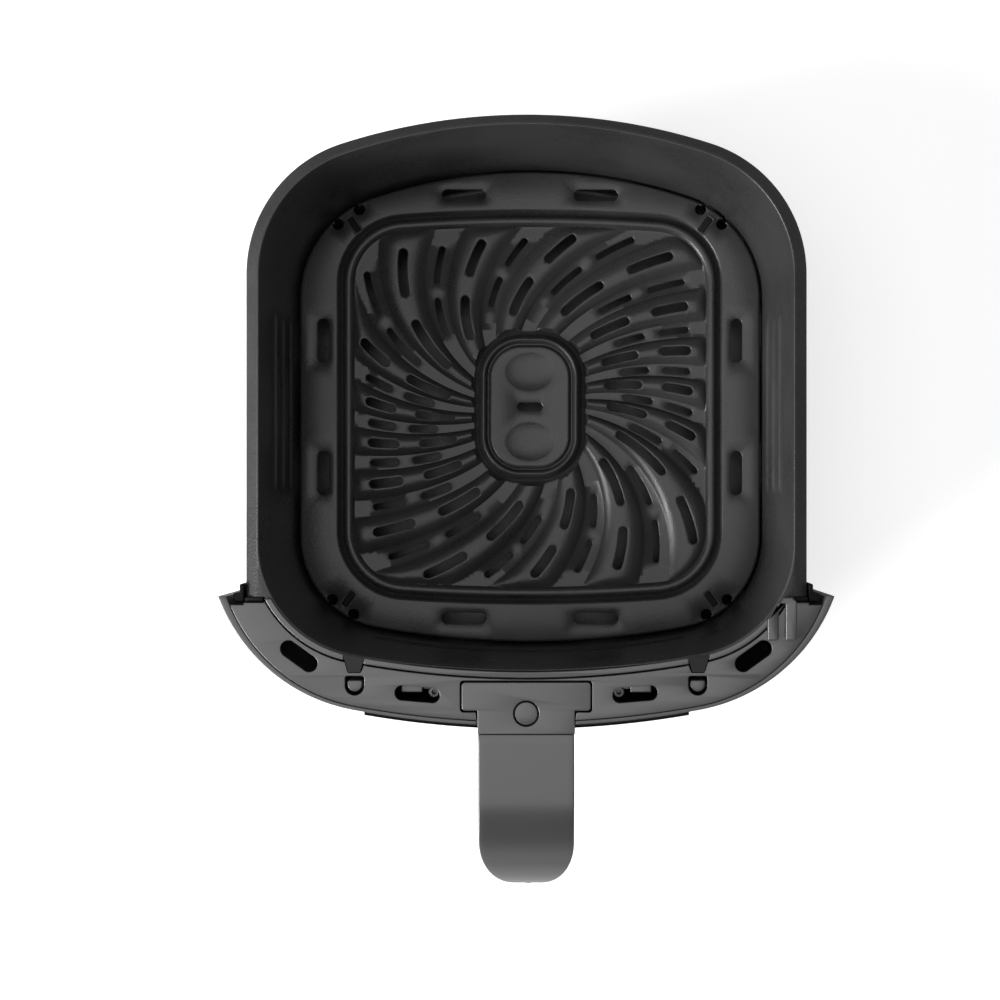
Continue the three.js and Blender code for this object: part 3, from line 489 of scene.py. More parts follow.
def brushed(name, colour, roughness):
    """Turned or rolled metal with fine scratches along X and dull patches."""
    material, tree, inputs, place = new_material(name, "Metallic", 0.9)
    stretch = node(tree, "ShaderNodeMapping", {"Vector": place, "Scale": (60.0, 2400.0, 900.0)})
    scratch = noise(tree, stretch.outputs[0], 1.0, 4.0)
    patch = noise(tree, place, 90.0, 3.0)
    bump = node(tree, "ShaderNodeBump", {"Strength": 0.5, "Distance": 0.02 * MM, "Height": scratch})
    tree.links.new(bump.outputs[0], inputs["Normal"])
    ramp = node(tree, "ShaderNodeValToRGB", {"Fac": patch})
    for element, shade_colour in zip(ramp.color_ramp.elements, shades(colour, (0.8, 1.15))):
        element.color = shade_colour
    tree.links.new(ramp.outputs[0], inputs["Base Color"])
    levels = {"Value": scratch, "To Min": roughness - 0.1, "To Max": roughness + 0.15}
    gloss = node(tree, "ShaderNodeMapRange", levels)
    tree.links.new(gloss.outputs[0], inputs["Roughness"])
    return material


COATING = grainy("coating", (0.027,) * 3, 0.3, 0.55, 0.05, colour_spread=0.3, specular=0.32, wear=0.25)
FLANGE_COATING = grainy("flange_coating", (0.027,) * 3, 0.42, 0.9, 0.1, colour_spread=0.4, specular=0.14, wear=0.3)
GREY = grainy("grey_plastic", (0.032, 0.032, 0.0325), 0.3, 0.35, 0.003, 0.04, 0.02, specular=0.68)
SHELL_GREY = grainy("shell_plastic", (0.038, 0.038, 0.0385), 0.42, 0.5, 0.02, 0.08, 0.04, specular=0.6)
BLACK = grainy("black_plastic", (0.003,) * 3, 0.6, 0.4, 0.01, specular=0.1)
GLOSS = grainy("gloss_black", (0.002,) * 3, 0.2, 0.5, 0.001, rough_spread=0.02, specular=0.08)
RUBBER = grainy("silicone", (0.005,) * 3, 0.7, 0.5, 0.012, specular=0.15)
DARK_STEEL = brushed("dark_steel", (0.02, 0.02, 0.021), 0.45)
STEEL = brushed("zinc_steel", (0.35, 0.35, 0.35), 0.4)

# The body a piece rides on, its slot and its material.
COATED = ("drawer", "coated_steel", COATING)
COATED_PLATE = ("plate", "coated_steel", COATING)
BUMPER_PART = ("plate", "silicone", RUBBER)
SEAL_PART = ("drawer", "silicone", RUBBER)
GREY_PART = ("drawer", "grey_plastic", GREY)
SHELL_PART = ("drawer", "shell_plastic", SHELL_GREY)
BLACK_PART = ("drawer", "black_plastic", BLACK)
GLOSS_PART = ("drawer", "gloss_black", GLOSS)
SCREW_PART = ("drawer", "screw_steel", STEEL)

# ---------------------------------------------------------------- the crisper plate


def swirl_point(turn, r):
    """A point of the swirl: turn counts pitches, r is the distance from the axis before the stretch along X."""
    angle = np.radians(SWIRL_START - turn * SWIRL_PITCH - SWIRL_TWIST * r + SWIRL_CURL * r * r)
    return np.stack([SWIRL_STRETCH * r * np.cos(angle), r * np.sin(angle)], axis=-1)


def swirl_turn(x, y):
    """Which pitch of the swirl a point lies on."""
    r = np.hypot(x / SWIRL_STRETCH, y)
    angle = np.degrees(np.arctan2(y, x / SWIRL_STRETCH))
    return (SWIRL_START - SWIRL_TWIST * r + SWIRL_CURL * r * r - angle) / SWIRL_PITCH


def swirl_span(turn):
    """How far out a line of the swirl leaves the hub and meets the field's border."""
    r = np.arange(5, 160, 0.25)
    p = swirl_point(np.full_like(r, turn), r)
    outside_hub = rounded_distance(HUB, p[:, 0], p[:, 1]) > 0
    inside = bowed_distance(FIELD, p[:, 0], p[:, 1]) <= 0
    inner = r[np.argmax(outside_hub)]
    outer = r[(r > inner) & ~inside][0] - 0.25
    return inner, outer


def swirl_slot(turn, span, width, grow=0.0, steps=9):
    """The outline of a slot with round ends that follows the swirl, grown by a margin."""
    inner, outer = swirl_span(turn)
    pad = width / 2 / (outer - inner)
    shares = np.linspace(span[0] + pad, span[1] - pad, steps)
    middle = swirl_point(np.full(steps, turn), inner + shares * (outer - inner))
    along = unit(np.gradient(middle, axis=0))
    left = np.column_stack([-along[:, 1], along[:, 0]])
    half = width / 2 + grow
    caps = np.radians(np.arange(22.5, 180, 22.5))
    end_cap = [middle[-1] + half * (left[-1] * math.cos(a) + along[-1] * math.sin(a)) for a in caps]
    start_cap = [middle[0] - half * (left[0] * math.cos(a) + along[0] * math.sin(a)) for a in caps]
    return np.concatenate([middle + left * half, end_cap, (middle - left * half)[::-1], start_cap])


def stadium(length, width, degrees, x, y, grow=0.0):
    return turned(rounded_rect(length + 2 * grow, width + 2 * grow, width / 2 + grow - 0.02, steps=7), degrees, x, y)


def plate_corners():
    """Centre, radius and outward angle of the plate's four corners."""
    corners = {}
    for end, sy in (("rear", 1), ("front", -1)):
        corner, _, cx, cy, _, _ = end_arcs(OPENING, end, PLATE_OFFSET)
        for side, sx in SIDES:
            angle = sy * 55 if sx > 0 else 180 - sy * 55
            corners[f"{end}_{side}"] = (sx * cx, sy * cy, corner, angle)
    return corners


def at_corner(points, corner, inset):
    x, y, radius, angle = corner
    a = math.radians(angle)
    reach = radius - inset
    return turned(points, angle, x + reach * math.cos(a), y + reach * math.sin(a))


def notch_outline(shift, grow=0.0):
    """A corner notch: a round head with a neck that runs out to the plate's edge, outwards along +X."""
    head, neck = 2.8 + grow, 1.1 + grow
    start = math.asin(neck / head)
    angles = np.linspace(start, 2 * math.pi - start, 22)
    ring = np.column_stack([head * np.cos(angles), head * np.sin(angles)])
    lip = np.array([[2.6, -neck - 0.1], [4.6, -neck - 0.9], [4.6, neck + 0.9], [2.6, neck + 0.1]])
    return np.concatenate([ring, lip]) + np.array([0, shift])


def plate_holes(grow=0.0):
    """Outlines of everything cut through the plate, grown by a margin."""
    holes = []
    for k in range(SWIRL_COUNT):
        for span in ((0.32, 0.57), (0.65, 0.89)):
            holes.append(swirl_slot(k, span, 3.2, grow))
        for span in ((0.17, 0.5), (0.63, 0.9)):
            holes.append(swirl_slot(k + 0.5, span, 4.4, grow))
    edge_x = OPENING["half_x"] + PLATE_OFFSET - 11.8
    edge_y = OPENING["rear"][0] + PLATE_OFFSET - 11.8
    for side in (-1, 1):
        for along in (-33.4, 33.4):
            holes.append(stadium(22.3, 5.8, 0, along, side * edge_y, grow))
            holes.append(stadium(22.3, 5.8, 90, side * edge_x, along, grow))
    holes.append(stadium(12.8, 4.1, 0, 0, 0, grow))
    for corner in plate_corners().values():
        for shift in (-6.5, 6.5):
            holes.append(at_corner(notch_outline(shift, grow), corner, 3.2))
    return holes


def near_box(polygon, x, y, reach=0):
    """Which points lie in a polygon's box, grown by a reach."""
    low, high = polygon.min(axis=0) - reach, polygon.max(axis=0) + reach
    return np.where((x > low[0]) & (x < high[0]) & (y > low[1]) & (y < high[1]))[0]


def inside_polygon(polygon, x, y):
    """Which points lie in a polygon."""
    result = np.zeros(len(x), bool)
    near = near_box(polygon, x, y)
    px, py = x[near][:, None], y[near][:, None]
    a, b = polygon, np.roll(polygon, -1, axis=0)
    crosses = (a[:, 1] > py) != (b[:, 1] > py)
    with np.errstate(divide="ignore", invalid="ignore"):
        at = a[:, 0] + (py - a[:, 1]) * (b[:, 0] - a[:, 0]) / (b[:, 1] - a[:, 1])
    result[near] = (np.sum(crosses & (px < at), axis=1) % 2) == 1
    return result


def distance_to_loop(polygon, x, y, reach):
    """Distance of points to a closed polygon, where it is under reach."""
    result = np.full(len(x), reach, float)
    near = near_box(polygon, x, y, reach)
    if len(near) == 0:
        return result
    p = np.column_stack([x[near], y[near]])[:, None, :]
    a, b = polygon[None], np.roll(polygon, -1, axis=0)[None]
    ab = b - a
    share = np.clip(np.sum((p - a) * ab, axis=2) / np.maximum(np.sum(ab * ab, axis=2), 1e-12), 0, 1)
    result[near] = np.minimum(reach, np.min(np.linalg.norm(a + share[..., None] * ab - p, axis=2), axis=1))
    return result


# Height over the plate's top at a distance outwards from the field's outline: wall, bead, groove and flat rim.
BORDER_D = [-1.3, -0.9, -0.35, 0.3, 1.0, 1.9, 2.8, 3.4, 3.8, 4.2, 4.7, 5.5, 6.2, 6.7, 7.1, 7.6, 8.2]
BORDER_Z = [-2.2, -2.1, -0.5, 0.4, 0.72, 0.8, 0.7, 0.4, -0.2, -1.2, -2.2, -3.1, -2.4, -1.4, -0.6, -0.12, 0.0]
# The same outwards from the hub's outline, negative inside: plateau, groove, ring and outer slope.
HUB_D = [-8.2, -7.4, -6.8, -6.3, -5.9, -5.4, -4.9, -4.5, -4.1, -3.6, -3.1, -2.6, -2.1, -1.6, -1.1, -0.6, 0.1, 0.9]
HUB_Z = [1.5, 1.58, 1.5, 1.1, 0.3, -0.5, -0.4, 0.6, 1.7, 2.35, 2.6, 2.5, 2.1, 1.2, 0.0, -1.4, -2.9, -3.4]


def plate_height(x, y):
    """Height of the plate's upper side over its flat rim."""
    border = bowed_distance(FIELD, x, y)
    hub = rounded_distance(HUB, x, y)
    z = np.interp(border, BORDER_D, BORDER_Z, left=LAND_Z, right=0.0)
    turn = swirl_turn(x, y)
    across = np.clip(np.abs((turn % 1) - 0.5) / FLUTE_HALF, 0, 1)
    crown = (1 - across**2.4) ** 0.9
    into_end = np.clip((border + 7.5) / 7.0, 0, 1)
    into_hub = np.clip((3.2 - hub) / 3.2, 0, 1)
    ends = np.sqrt(np.maximum(1 - into_end**2.4, 0)) * np.sqrt(np.maximum(1 - into_hub**2.2, 0))
    flute = LAND_Z + FLUTE_HEIGHT * crown * ends
    field = (border < 0) & (hub > 0)
    z = np.where(field, np.maximum(z, flute), z)
    hub_z = np.interp(hub, HUB_D, HUB_Z, left=HUB_TOP, right=MOAT_Z)
    z = np.where(hub < MOAT_EDGE, hub_z, z)
    moat = (hub >= MOAT_EDGE) & (hub < 2.6)
    z = np.where(moat, np.minimum(z, MOAT_Z + (hub - MOAT_EDGE) * 1.6), z)
    for side in (-1, 1):
        dish = np.hypot(x / DISH_X, (y - side * DISH_PLACE) / DISH_Y)
        z = np.where(dish < 1, z - 1.5 * (1 - dish**2.6), z)
    return z


def plate_feature_lines():
    """Lines that the plate's mesh follows, as (points, closed)."""
    borders = [*BORDER_D, -7.5, -6, -4.5, -3.2, -2.2]
    lines = [(outline(FIELD, d, corner_steps=20, bow_steps=60, side_steps=50), True) for d in borders]
    for d in HUB_D + [1.5, 2.1, 2.6, 3.4]:
        lines.append((rounded_rect(HUB[0] + 2 * d, HUB[1] + 2 * d, HUB[2] + d, steps=14), True))
    for side in (-1, 1):
        for share in (1.0, 0.93, 0.84, 0.72, 0.55, 0.3):
            angles = 2 * math.pi * np.arange(48) / 48
            ring = [DISH_X * share * np.cos(angles), DISH_Y * share * np.sin(angles) + side * DISH_PLACE]
            lines.append((np.stack(ring, axis=1), True))
    for k in range(SWIRL_COUNT):
        for share in (-1, -0.94, -0.84, -0.7, -0.52, -0.32, -0.1, 0.1, 0.32, 0.52, 0.7, 0.84, 0.94, 1):
            turn = k + 0.5 + share * FLUTE_HALF
            inner, outer = swirl_span(turn)
            r = np.linspace(inner + 0.4, outer - 0.6, max(12, int((outer - inner) / 1.3)))
            lines.append((swirl_point(np.full_like(r, turn), r), False))
    return lines


def make_plate():
    """The plate's sheet: a height field over its outline, thickened downwards."""
    edge, *insets = [outline(OPENING, PLATE_OFFSET - inset, 24, 60, 40) for inset in (0, 0.45, EDGE_ROLL)]
    holes = plate_holes()
    closed_lines = [edge, *insets, *holes, *plate_holes(HOLE_ROLL)]
    loops = [(line, True) for line in closed_lines] + plate_feature_lines()
    points, edges = [], []
    for line, closed in loops:
        base = len(points)
        count = len(line)
        points.extend(Vector(p) for p in line)
        edges.extend((base + i, base + (i + 1) % count) for i in range(count if closed else count - 1))
    verts, _, faces, *_ = delaunay_2d_cdt(points, edges, [], 0, 1e-4)
    xy = np.array([v[:] for v in verts])
    triangles = np.array([f for f in faces if len(f) == 3])
    centre = xy[triangles].mean(axis=1)
    keep = inside_polygon(edge, centre[:, 0], centre[:, 1])
    for hole in holes:
        keep &= ~inside_polygon(hole, centre[:, 0], centre[:, 1])
    triangles = triangles[keep]
    used, triangles = np.unique(triangles, return_inverse=True)
    triangles = triangles.reshape(-1, 3)
    x, y = xy[used, 0], xy[used, 1]
    z = plate_height(x, y)
    rolled = distance_to_loop(edge, x, y, EDGE_ROLL) / EDGE_ROLL
    z -= 0.7 * (1 - np.sqrt(np.maximum(1 - (1 - rolled) ** 2, 0)))
    for hole in holes:
        near = distance_to_loop(hole, x, y, HOLE_ROLL) / HOLE_ROLL
        z -= 0.3 * (1 - near) ** 2
    plate = make_object("plate_sheet", np.column_stack([x, y, PLATE_TOP + z]), triangles.tolist(), COATED_PLATE)
    up = sum(p.normal.z * p.area for p in plate.data.polygons)
    if up < 0:
        plate.data.flip_normals()
    thick = plate.modifiers.new("sheet", "SOLIDIFY")
    thick.thickness = PLATE_SHEET * MM
    thick.offset = -1
    bake_modifiers(plate, sharp=SHEET_SHARP)
    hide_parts("crisper_plate")


def make_bumpers():
    """Silicone bumpers: a head pressed through the plate, with a rim round it, and a foot under the plate."""
    for where, corner in plate_corners().items():
        end, side = where.split("_")
        node_name = f"plate_bumper_{end}_{side}"
        head = at_corner(rounded_rect(8.4, 3.4, 0.7), corner, 8.2)
        foot = at_corner(rounded_rect(7, 13, 2.2), corner, 9.0)
        waist = at_corner(rounded_rect(5.4, 10, 1.6), corner, 9.0)
        top = slab(f"{node_name}_head", [head], 22, PLATE_TOP + 0.35, BUMPER_PART, edge=0.5)
        block = slab(f"{node_name}_foot", [foot], FLOOR + GAP, 10, BUMPER_PART, edge=1.0, bottom_edge=0.9)
        stem = slab(f"{node_name}_block", [waist], 9.5, 23.5, BUMPER_PART, edge=0.6)
        for piece in (top, block, stem):
            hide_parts(node_name)
        collar = [at_corner(rounded_rect(length, width, corner_radius), corner, 8.2)
                  for length, width, corner_radius in ((10.2, 5.2, 1.3), (8.7, 3.7, 0.8))]
        low, high = PLATE_TOP - 0.4, PLATE_TOP + 0.45
        ring = slab(f"{node_name}_collar", collar, low, high, COATED_PLATE, edge=0.3)
        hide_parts("crisper_plate")


make_plate()
make_bumpers()

# ---------------------------------------------------------------- the pan


def unit_normals(points):
    """Outward normals at the points of a closed anticlockwise loop."""
    ahead = unit(np.roll(points, -1, axis=0) - np.roll(points, 1, axis=0))
    return np.column_stack([ahead[:, 1], -ahead[:, 0]])


def ray_reach(points, normals, polygon):
    """How far each point lies from a closed polygon along its normal."""
    a, b = polygon, np.roll(polygon, -1, axis=0)
    ab = b - a
    reach = np.full(len(points), np.inf)
    for i, (p, n) in enumerate(zip(points, normals)):
        cross = n[0] * ab[:, 1] - n[1] * ab[:, 0]
        ap = a - p
        with np.errstate(divide="ignore", invalid="ignore"):
            t = (ap[:, 0] * ab[:, 1] - ap[:, 1] * ab[:, 0]) / cross
            u = (ap[:, 0] * n[1] - ap[:, 1] * n[0]) / cross
        hit = (t > 0) & (u >= -1e-9) & (u <= 1 + 1e-9)
        reach[i] = t[hit].min()
    return reach


def smooth_step(value, low, high):
    t = np.clip((value - low) / (high - low), 0, 1)
    return t * t * (3 - 2 * t)


RIB_Z = [RIM_Z - 30 - i * 16 for i in range(3)]
FLANGE_WIDTH = 6.2
FLANGE_DROP = 4.0
FLANGE_UNDER = 5.7
FLOOR_RADIUS = 5


def emboss(points, z):
    """How far the pan's walls stand inwards: three ribs in each side wall and a shallow panel in the front wall."""
    x, y = points[:, 0], points[:, 1]
    on_side = (np.abs(x) > 110) * smooth_step(43.5 - np.abs(y), 0, 2.5)
    rib = sum(math.exp(-(((z - middle) / 1.25) ** 2)) for middle in RIB_Z)
    on_front = (y < 0) * smooth_step(79 - np.abs(x), 0, 4)
    panel = float(smooth_step(np.array(z), 44, 46.5) * (1 - smooth_step(np.array(z), 86.5, 89)))
    return 1.5 * rib * on_side - 0.9 * panel * on_front


def make_pan():
    """The pan as one loft: up its outside, round the flange and down its inside."""
    steps = {"corner_steps": 26, "bow_steps": 44, "side_steps": 56}
    base = outline(OPENING, 0, **steps)
    normals = unit_normals(base)
    reach = ray_reach(base, normals, outline(FLANGE_EDGE, 0, 40, 80, 80))

    def wall(offset, z):
        points = outline(OPENING, offset - WALL_LEAN * (RIM_Z - z), **steps)
        return with_z(points - unit_normals(points) * emboss(points, z)[:, None], z)

    def bottom(extra, floor_z, radius):
        return [
            wall(extra - radius * (1 - math.sin(a)), floor_z + radius * (1 - math.cos(a)))
            for a in np.radians([0, 12, 24, 36, 48, 60, 75])
        ]

    def flat(extra, z):
        ring = bottom(extra, z, FLOOR_RADIUS)[0]
        return [ring * np.array([share, share, 1]) for share in (0.25, 0.6, 0.92)]

    def flange_top(e):
        roll = 0.9
        drop = roll - np.sqrt(np.maximum(roll**2 - np.maximum(roll - e, 0) ** 2, 0))
        w = reach - e
        slope = FLANGE_DROP * np.clip(1 - w / FLANGE_WIDTH, 0, 1)
        soft = 0.12 * np.exp(-(((w - FLANGE_WIDTH) / 0.9) ** 2))
        edge = 0.5 * np.maximum(0, 1 - w / 0.6) ** 2
        return RIM_Z - drop - slope - soft - edge

    def on_flange(e, z):
        e = np.broadcast_to(e, reach.shape)
        return with_z(base + normals * e[:, None], z)

    rib_levels = {z + d for z in RIB_Z for d in (-3.2, -2.2, -1.5, -0.9, -0.4, 0, 0.4, 0.9, 1.5, 2.2, 3.2)}
    plain_levels = {12.0, 20.0, 30.0, 44.0, 45.2, 46.5, 52.0, 68.0, 84.0, 86.5, 87.8, 89.0, 95.0, 101.0}
    levels = sorted(rib_levels | plain_levels)
    outside = [wall(WALL, z) for z in levels]
    inside = [wall(0, z) for z in reversed(levels)]
    rings = flat(WALL, 0) + bottom(WALL, 0, 6.5) + outside
    rings.append(on_flange(WALL + 0.05, RIM_Z - 2.6))
    neck = flange_top(np.full_like(reach, WALL + 0.5)) - 1.0
    rings.append(on_flange(WALL + 0.5, np.minimum(RIM_Z - 2.1, neck)))
    for share in (0.45, 0.8):
        e = WALL + 0.5 + (reach - 1.2 - WALL - 0.5) * share
        rings.append(on_flange(e, flange_top(e) - 1.1))
    for inset, drop in ((1.1, 5.0), (1.0, 5.55), (0.5, FLANGE_UNDER), (0.1, 5.5), (0.0, 5.2), (0.0, 4.7)):
        rings.append(on_flange(reach - inset, RIM_Z - drop))
    for inset in (0.08, 0.35, 0.8, 2.0, 3.4, 4.8, 5.5, 5.9):
        e = np.maximum(reach - inset, 1.3)
        rings.append(on_flange(e, flange_top(e)))
    for e in (1.0, 0.75, 0.5, 0.28, 0.12, 0.03):
        rings.append(on_flange(e, flange_top(np.full_like(reach, e))))
    rings.append(on_flange(0.0, RIM_Z - 1.2))
    rings += inside + bottom(0, FLOOR, FLOOR_RADIUS)[::-1] + flat(0, FLOOR)[::-1]
    pan = loft("pan_body", rings, COATED, sharp=PAN_SHARP)
    inner = outline(OPENING, 3.4, 24, 50, 20)
    outer = outline(OPENING, 60, 24, 50, 20)
    tube = [with_z(inner, 98), with_z(inner, 109), with_z(outer, 109), with_z(outer, 98)]
    cutter = loft("pan_cutter", tube, COATED, closed=True)
    slice_mesh(cutter, (0, FLANGE_FRONT_Y, 0), (0, 1, 0))
    carve(pan, cutter, sharp=PAN_SHARP)
    pan.data.materials.append(FLANGE_COATING)
    rim_edge = base + normals * 1.4
    for polygon in pan.data.polygons:
        x, y, z = polygon.center / MM
        on_rim = not inside_polygon(rim_edge, np.array([x]), np.array([y]))[0]
        polygon.material_index = int(on_rim and z > RIM_Z - 8)
    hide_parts("pan")


make_pan()

# ---------------------------------------------------------------- the front


def root_cut(extra, front_y):
    """Half of the notch for the handle's T-shaped root, from the front edge rearwards, on the right."""
    stem, bar, step = ROOT_STEM + extra, ROOT_BAR + extra, ROOT_STEP_Y - extra
    return [(stem, front_y, 0), (stem, step, 0.4), (bar, step, 1.6), (bar, ROOT_REAR_Y + extra, 1.6)]


def tongue_notch(extra, line_offset):
    """Corners of a bracket tongue's notch on the right, from its rear right corner round to its rear left."""
    x, rear_y, front_y = 77.3, -113.9, -123.8
    radius = 51 + line_offset

    def half(y):
        return 5.6 + extra - 3.0 * (rear_y - y) / (rear_y - front_y)

    def rear_end(px):
        return px, -65.55 - math.sqrt(max(radius**2 - (px - 69.4) ** 2, 0))

    wide, front = half(-119.5), front_y - extra
    return [rear_end(x + wide), (x + half(front), front), (x - half(front), front), rear_end(x - wide)]


def deck_outline():
    """The deck's crescent: the notch for the handle's root, then its right half and the same on the left."""
    outer = by_x(front_line(DECK_EDGE, 0, DECK_REAR_Y))
    inner = by_x(front_line(OPENING, DECK_INSET, DECK_REAR_Y), -1)
    right_end = clipped(outer[outer[:, 0] > ROOT_SLOT], 0, 1, DECK_REAR_Y - 1)
    cut = tongue_notch(GAP, DECK_INSET)
    corners = [(x, y, 0) for x, y in right_end]
    corners += [(SEAL_NOTCH, DECK_REAR_Y - 1, 0), (SEAL_NOTCH, DECK_REAR_Y, 0)]
    corners += [(x, y, 0) for x, y in inner if x > cut[0][0]]
    corners += [(*point, radius) for point, radius in zip(cut, (0.3, 0.4, 0.4, 0.3))]
    corners += [(x, y, 0) for x, y in inner if 0.5 < x < cut[3][0]]
    half = filleted_open(corners)
    start = float(np.interp(ROOT_SLOT, outer[:, 0], outer[:, 1]))
    right = [*reversed(root_cut(0.75, start)[1:]), (ROOT_SLOT, start, 0)]
    head = filleted_open(mirrored(right) + right)
    return np.concatenate([head, half, mirror_points(half)[::-1]])


def filleted_open(corners):
    """Like filleted, for an open run of corners whose two ends stay sharp."""
    marked = [(x, y, 0 if i in (0, len(corners) - 1) else r) for i, (x, y, r) in enumerate(corners)]
    return filleted(marked)


def window_outline(width, rear_y, length, x, grow=0.0):
    half = width / 2 + grow
    arc_y = rear_y - length + width / 2
    angles = np.linspace(math.pi, 2 * math.pi, 15)
    bow = np.column_stack([half * np.cos(angles), arc_y + half * np.sin(angles)])
    top = filleted([(half, arc_y, 0), (half, rear_y + grow, 1.1), (-half, rear_y + grow, 1.1), (-half, arc_y, 0)])
    return np.concatenate([bow, top[1:-1]]) + np.array([x, 0])


def make_deck():
    holes = []
    for _, side in SIDES:
        flip = np.array([side, 1])
        holes.append(stadium(18.9, 7.6, 36, 102.2, -116.7) * flip)
        holes.append(stadium(20.3, 6.8, 5, 49, -133.8) * flip)
        holes.append(window_outline(8.6, -125.6, 8.7, 77.2) * flip)
    outlines = [deck_outline(), *holes]
    deck = slab("deck_plate", outlines, DECK_TOP - DECK_THICK, DECK_TOP, GREY_PART, edge=0.3)
    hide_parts("front_deck")


def shell_lean(z):
    middle = (SHELL_BOTTOM + DECK_TOP) / 2
    if z < middle:
        return -4 / 3 * (1 + 2 * (middle - z) / (middle - SHELL_BOTTOM))
    return -4 / 3 * (DECK_TOP - z) / (DECK_TOP - middle)


def smooth_lean(z):
    """The front's lean with its knee rounded."""
    return sum(shell_lean(min(max(z + d, SHELL_BOTTOM), DECK_TOP)) for d in (-9, -4.5, 0, 4.5, 9)) / 5 - 0.02


def plain_tube(name, spec, inner, outer, bottom_z, top_z, kind, round_edge, lean=lambda z: 0.0, levels=9):
    """A wall round a bowed outline with rounded edges, as a closed ring."""
    corner = round_off(round_edge, (0, 30, 60, 90))
    heights = np.linspace(bottom_z + round_edge, top_z - round_edge, levels)
    profile = [(outer, z) for z in heights]
    profile += [(outer - inset, top_z - drop) for inset, drop in corner[1:]]
    profile += [(inner + inset, top_z - drop) for inset, drop in corner[::-1]]
    profile += [(inner, z) for z in heights[::-1][1:]]
    profile += [(inner + inset, bottom_z + rise) for inset, rise in corner[1:]]
    profile += [(outer - inset, bottom_z + rise) for inset, rise in corner[::-1][:-1]]
    rings = [with_z(outline(spec, offset + lean(z), 30, 70, 4), z) for offset, z in profile]
    return loft(name, rings, kind, closed=True, sharp=SOFT_SHARP)


def cutting_box(low, high):
    """A box that cuts and isn't shown."""
    x0, y0, z0 = low
    x1, y1, z1 = high
    plan = np.array([[x0, y0], [x1, y0], [x1, y1], [x0, y1]], float)
    return loft("cutter", [with_z(plan, z0), with_z(plan, z1)], GREY_PART)


def make_shell():
    """The front's leaning wall and its floor."""
    def ring(spec, offset, z):
        return with_z(outline(spec, offset, 34, 80, 4), z)

    heights = [SHELL_BOTTOM + 0.6, 12, 20, 30, 38, 44, 50, 56, 62, 68, 76, 86, 96, DECK_TOP - 0.5]
    rings = [ring(SHELL_EDGE, smooth_lean(z), z) for z in heights]
    for a in np.radians([30, 60, 90]):
        rings.append(ring(SHELL_EDGE, -0.5 * (1 - math.cos(a)) - 0.02, DECK_TOP - 0.5 + 0.5 * math.sin(a)))
    for a in np.radians([90, 45, 0]):
        rings.append(ring(DECK_EDGE, GAP + 0.3 * (1 - math.cos(a)), DECK_TOP - 0.3 + 0.3 * math.sin(a)))
    rings += [ring(DECK_EDGE, GAP + smooth_lean(z), z) for z in heights[::-1][1:]]
    rings.append(ring(DECK_EDGE, GAP + 0.3 + smooth_lean(SHELL_BOTTOM), SHELL_BOTTOM))
    rings.append(ring(SHELL_EDGE, -0.6 + smooth_lean(SHELL_BOTTOM), SHELL_BOTTOM))
    shell = loft("shell_wall", rings, SHELL_PART, closed=True, sharp=SOFT_SHARP)
    slice_mesh(shell, (0, SHELL_TIP_Y, 0), (0, 1, 0))
    carve(shell, cutting_box((-ROOT_SLOT, -200, 97.9), (ROOT_SLOT, -100, 112)))
    soften(shell, 0.25, angle=55)
    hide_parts("front_shell")
    outer = by_x(front_line(SHELL_EDGE, shell_lean(7) - 0.6, -95.9))
    inner = by_x(front_line(OPENING, 7.4, -95.9), -1)
    outlines = [np.concatenate([outer, inner])]
    outlines += [rounded_rect(4, 4, 1.99, 5) + np.array([side * SHELL_SCREW[0], SHELL_SCREW[1]]) for _, side in SIDES]
    low, high = SHELL_BOTTOM + 0.02, SHELL_BOTTOM + 2.2
    floor = slab("shell_floor", outlines, low, high, SHELL_PART, edge=0.2, bottom_edge=0.3)
    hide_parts("front_shell")


def make_liner():
    """The front's inner wall with windows for the bracket, its two end wings and the bosses of the shell's screws."""
    wall = plain_tube("liner_wall", OPENING, DECK_INSET, 6.2, 8.8, 104.3, BLACK_PART, 0.3)
    slice_mesh(wall, (0, DECK_REAR_Y, 0), (0, 1, 0))
    window_z = 98.2 - 1.5 - 1
    carve(wall, cutting_box((-25, -200, window_z), (25, 0, 110)))
    for _, side in SIDES:
        low, high = sorted((side * 73.9, side * 80.7))
        carve(wall, cutting_box((low, -200, window_z), (high, 0, 110)))
    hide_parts("front_liner")
    for where, side in SIDES:
        x0 = float(front_line(OPENING, 5.0, DECK_REAR_Y)[:, 0].max())
        levels = [8.8, 30, 56, 80, 104.2]
        reach = [float(front_line(DECK_EDGE, smooth_lean(z) - 0.25, DECK_REAR_Y)[:, 0].max()) for z in levels]
        rings = []
        for z, x1 in zip(levels, reach):
            plan = np.array([[x0, -94.6], [x1, -94.6], [x1, DECK_REAR_Y], [x0, DECK_REAR_Y]])
            rings.append(with_z(plan * np.array([side, 1]), z))
        wing = loft(f"liner_wing_{where}", rings, BLACK_PART)
        soften(wing, 0.3)
        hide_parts("front_liner")
        tube = [(2.3, 8.6), (3.5, 8.6), (3.6, 8.8), (3.6, 24.5), (3.2, 24.9), (0.6, 24.9), (0.6, 22.4), (2.3, 22.4)]
        boss = lathe(f"liner_boss_{where}", tube, (side * SHELL_SCREW[0], SHELL_SCREW[1]), BLACK_PART)
        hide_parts("front_liner")


def make_fascia():
    panel = plain_tube("fascia_panel", SHELL_EDGE, GAP, 3.2, 30, 98, GLOSS_PART, 0.7, lean=smooth_lean, levels=16)
    for point, away in (((0, -100, 0), (0, 1, 0)), ((74, 0, 0), (1, 0, 0)), ((-74, 0, 0), (-1, 0, 0))):
        slice_mesh(panel, point, away)
    soften(panel, 0.6, angle=55)
    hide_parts("front_fascia")


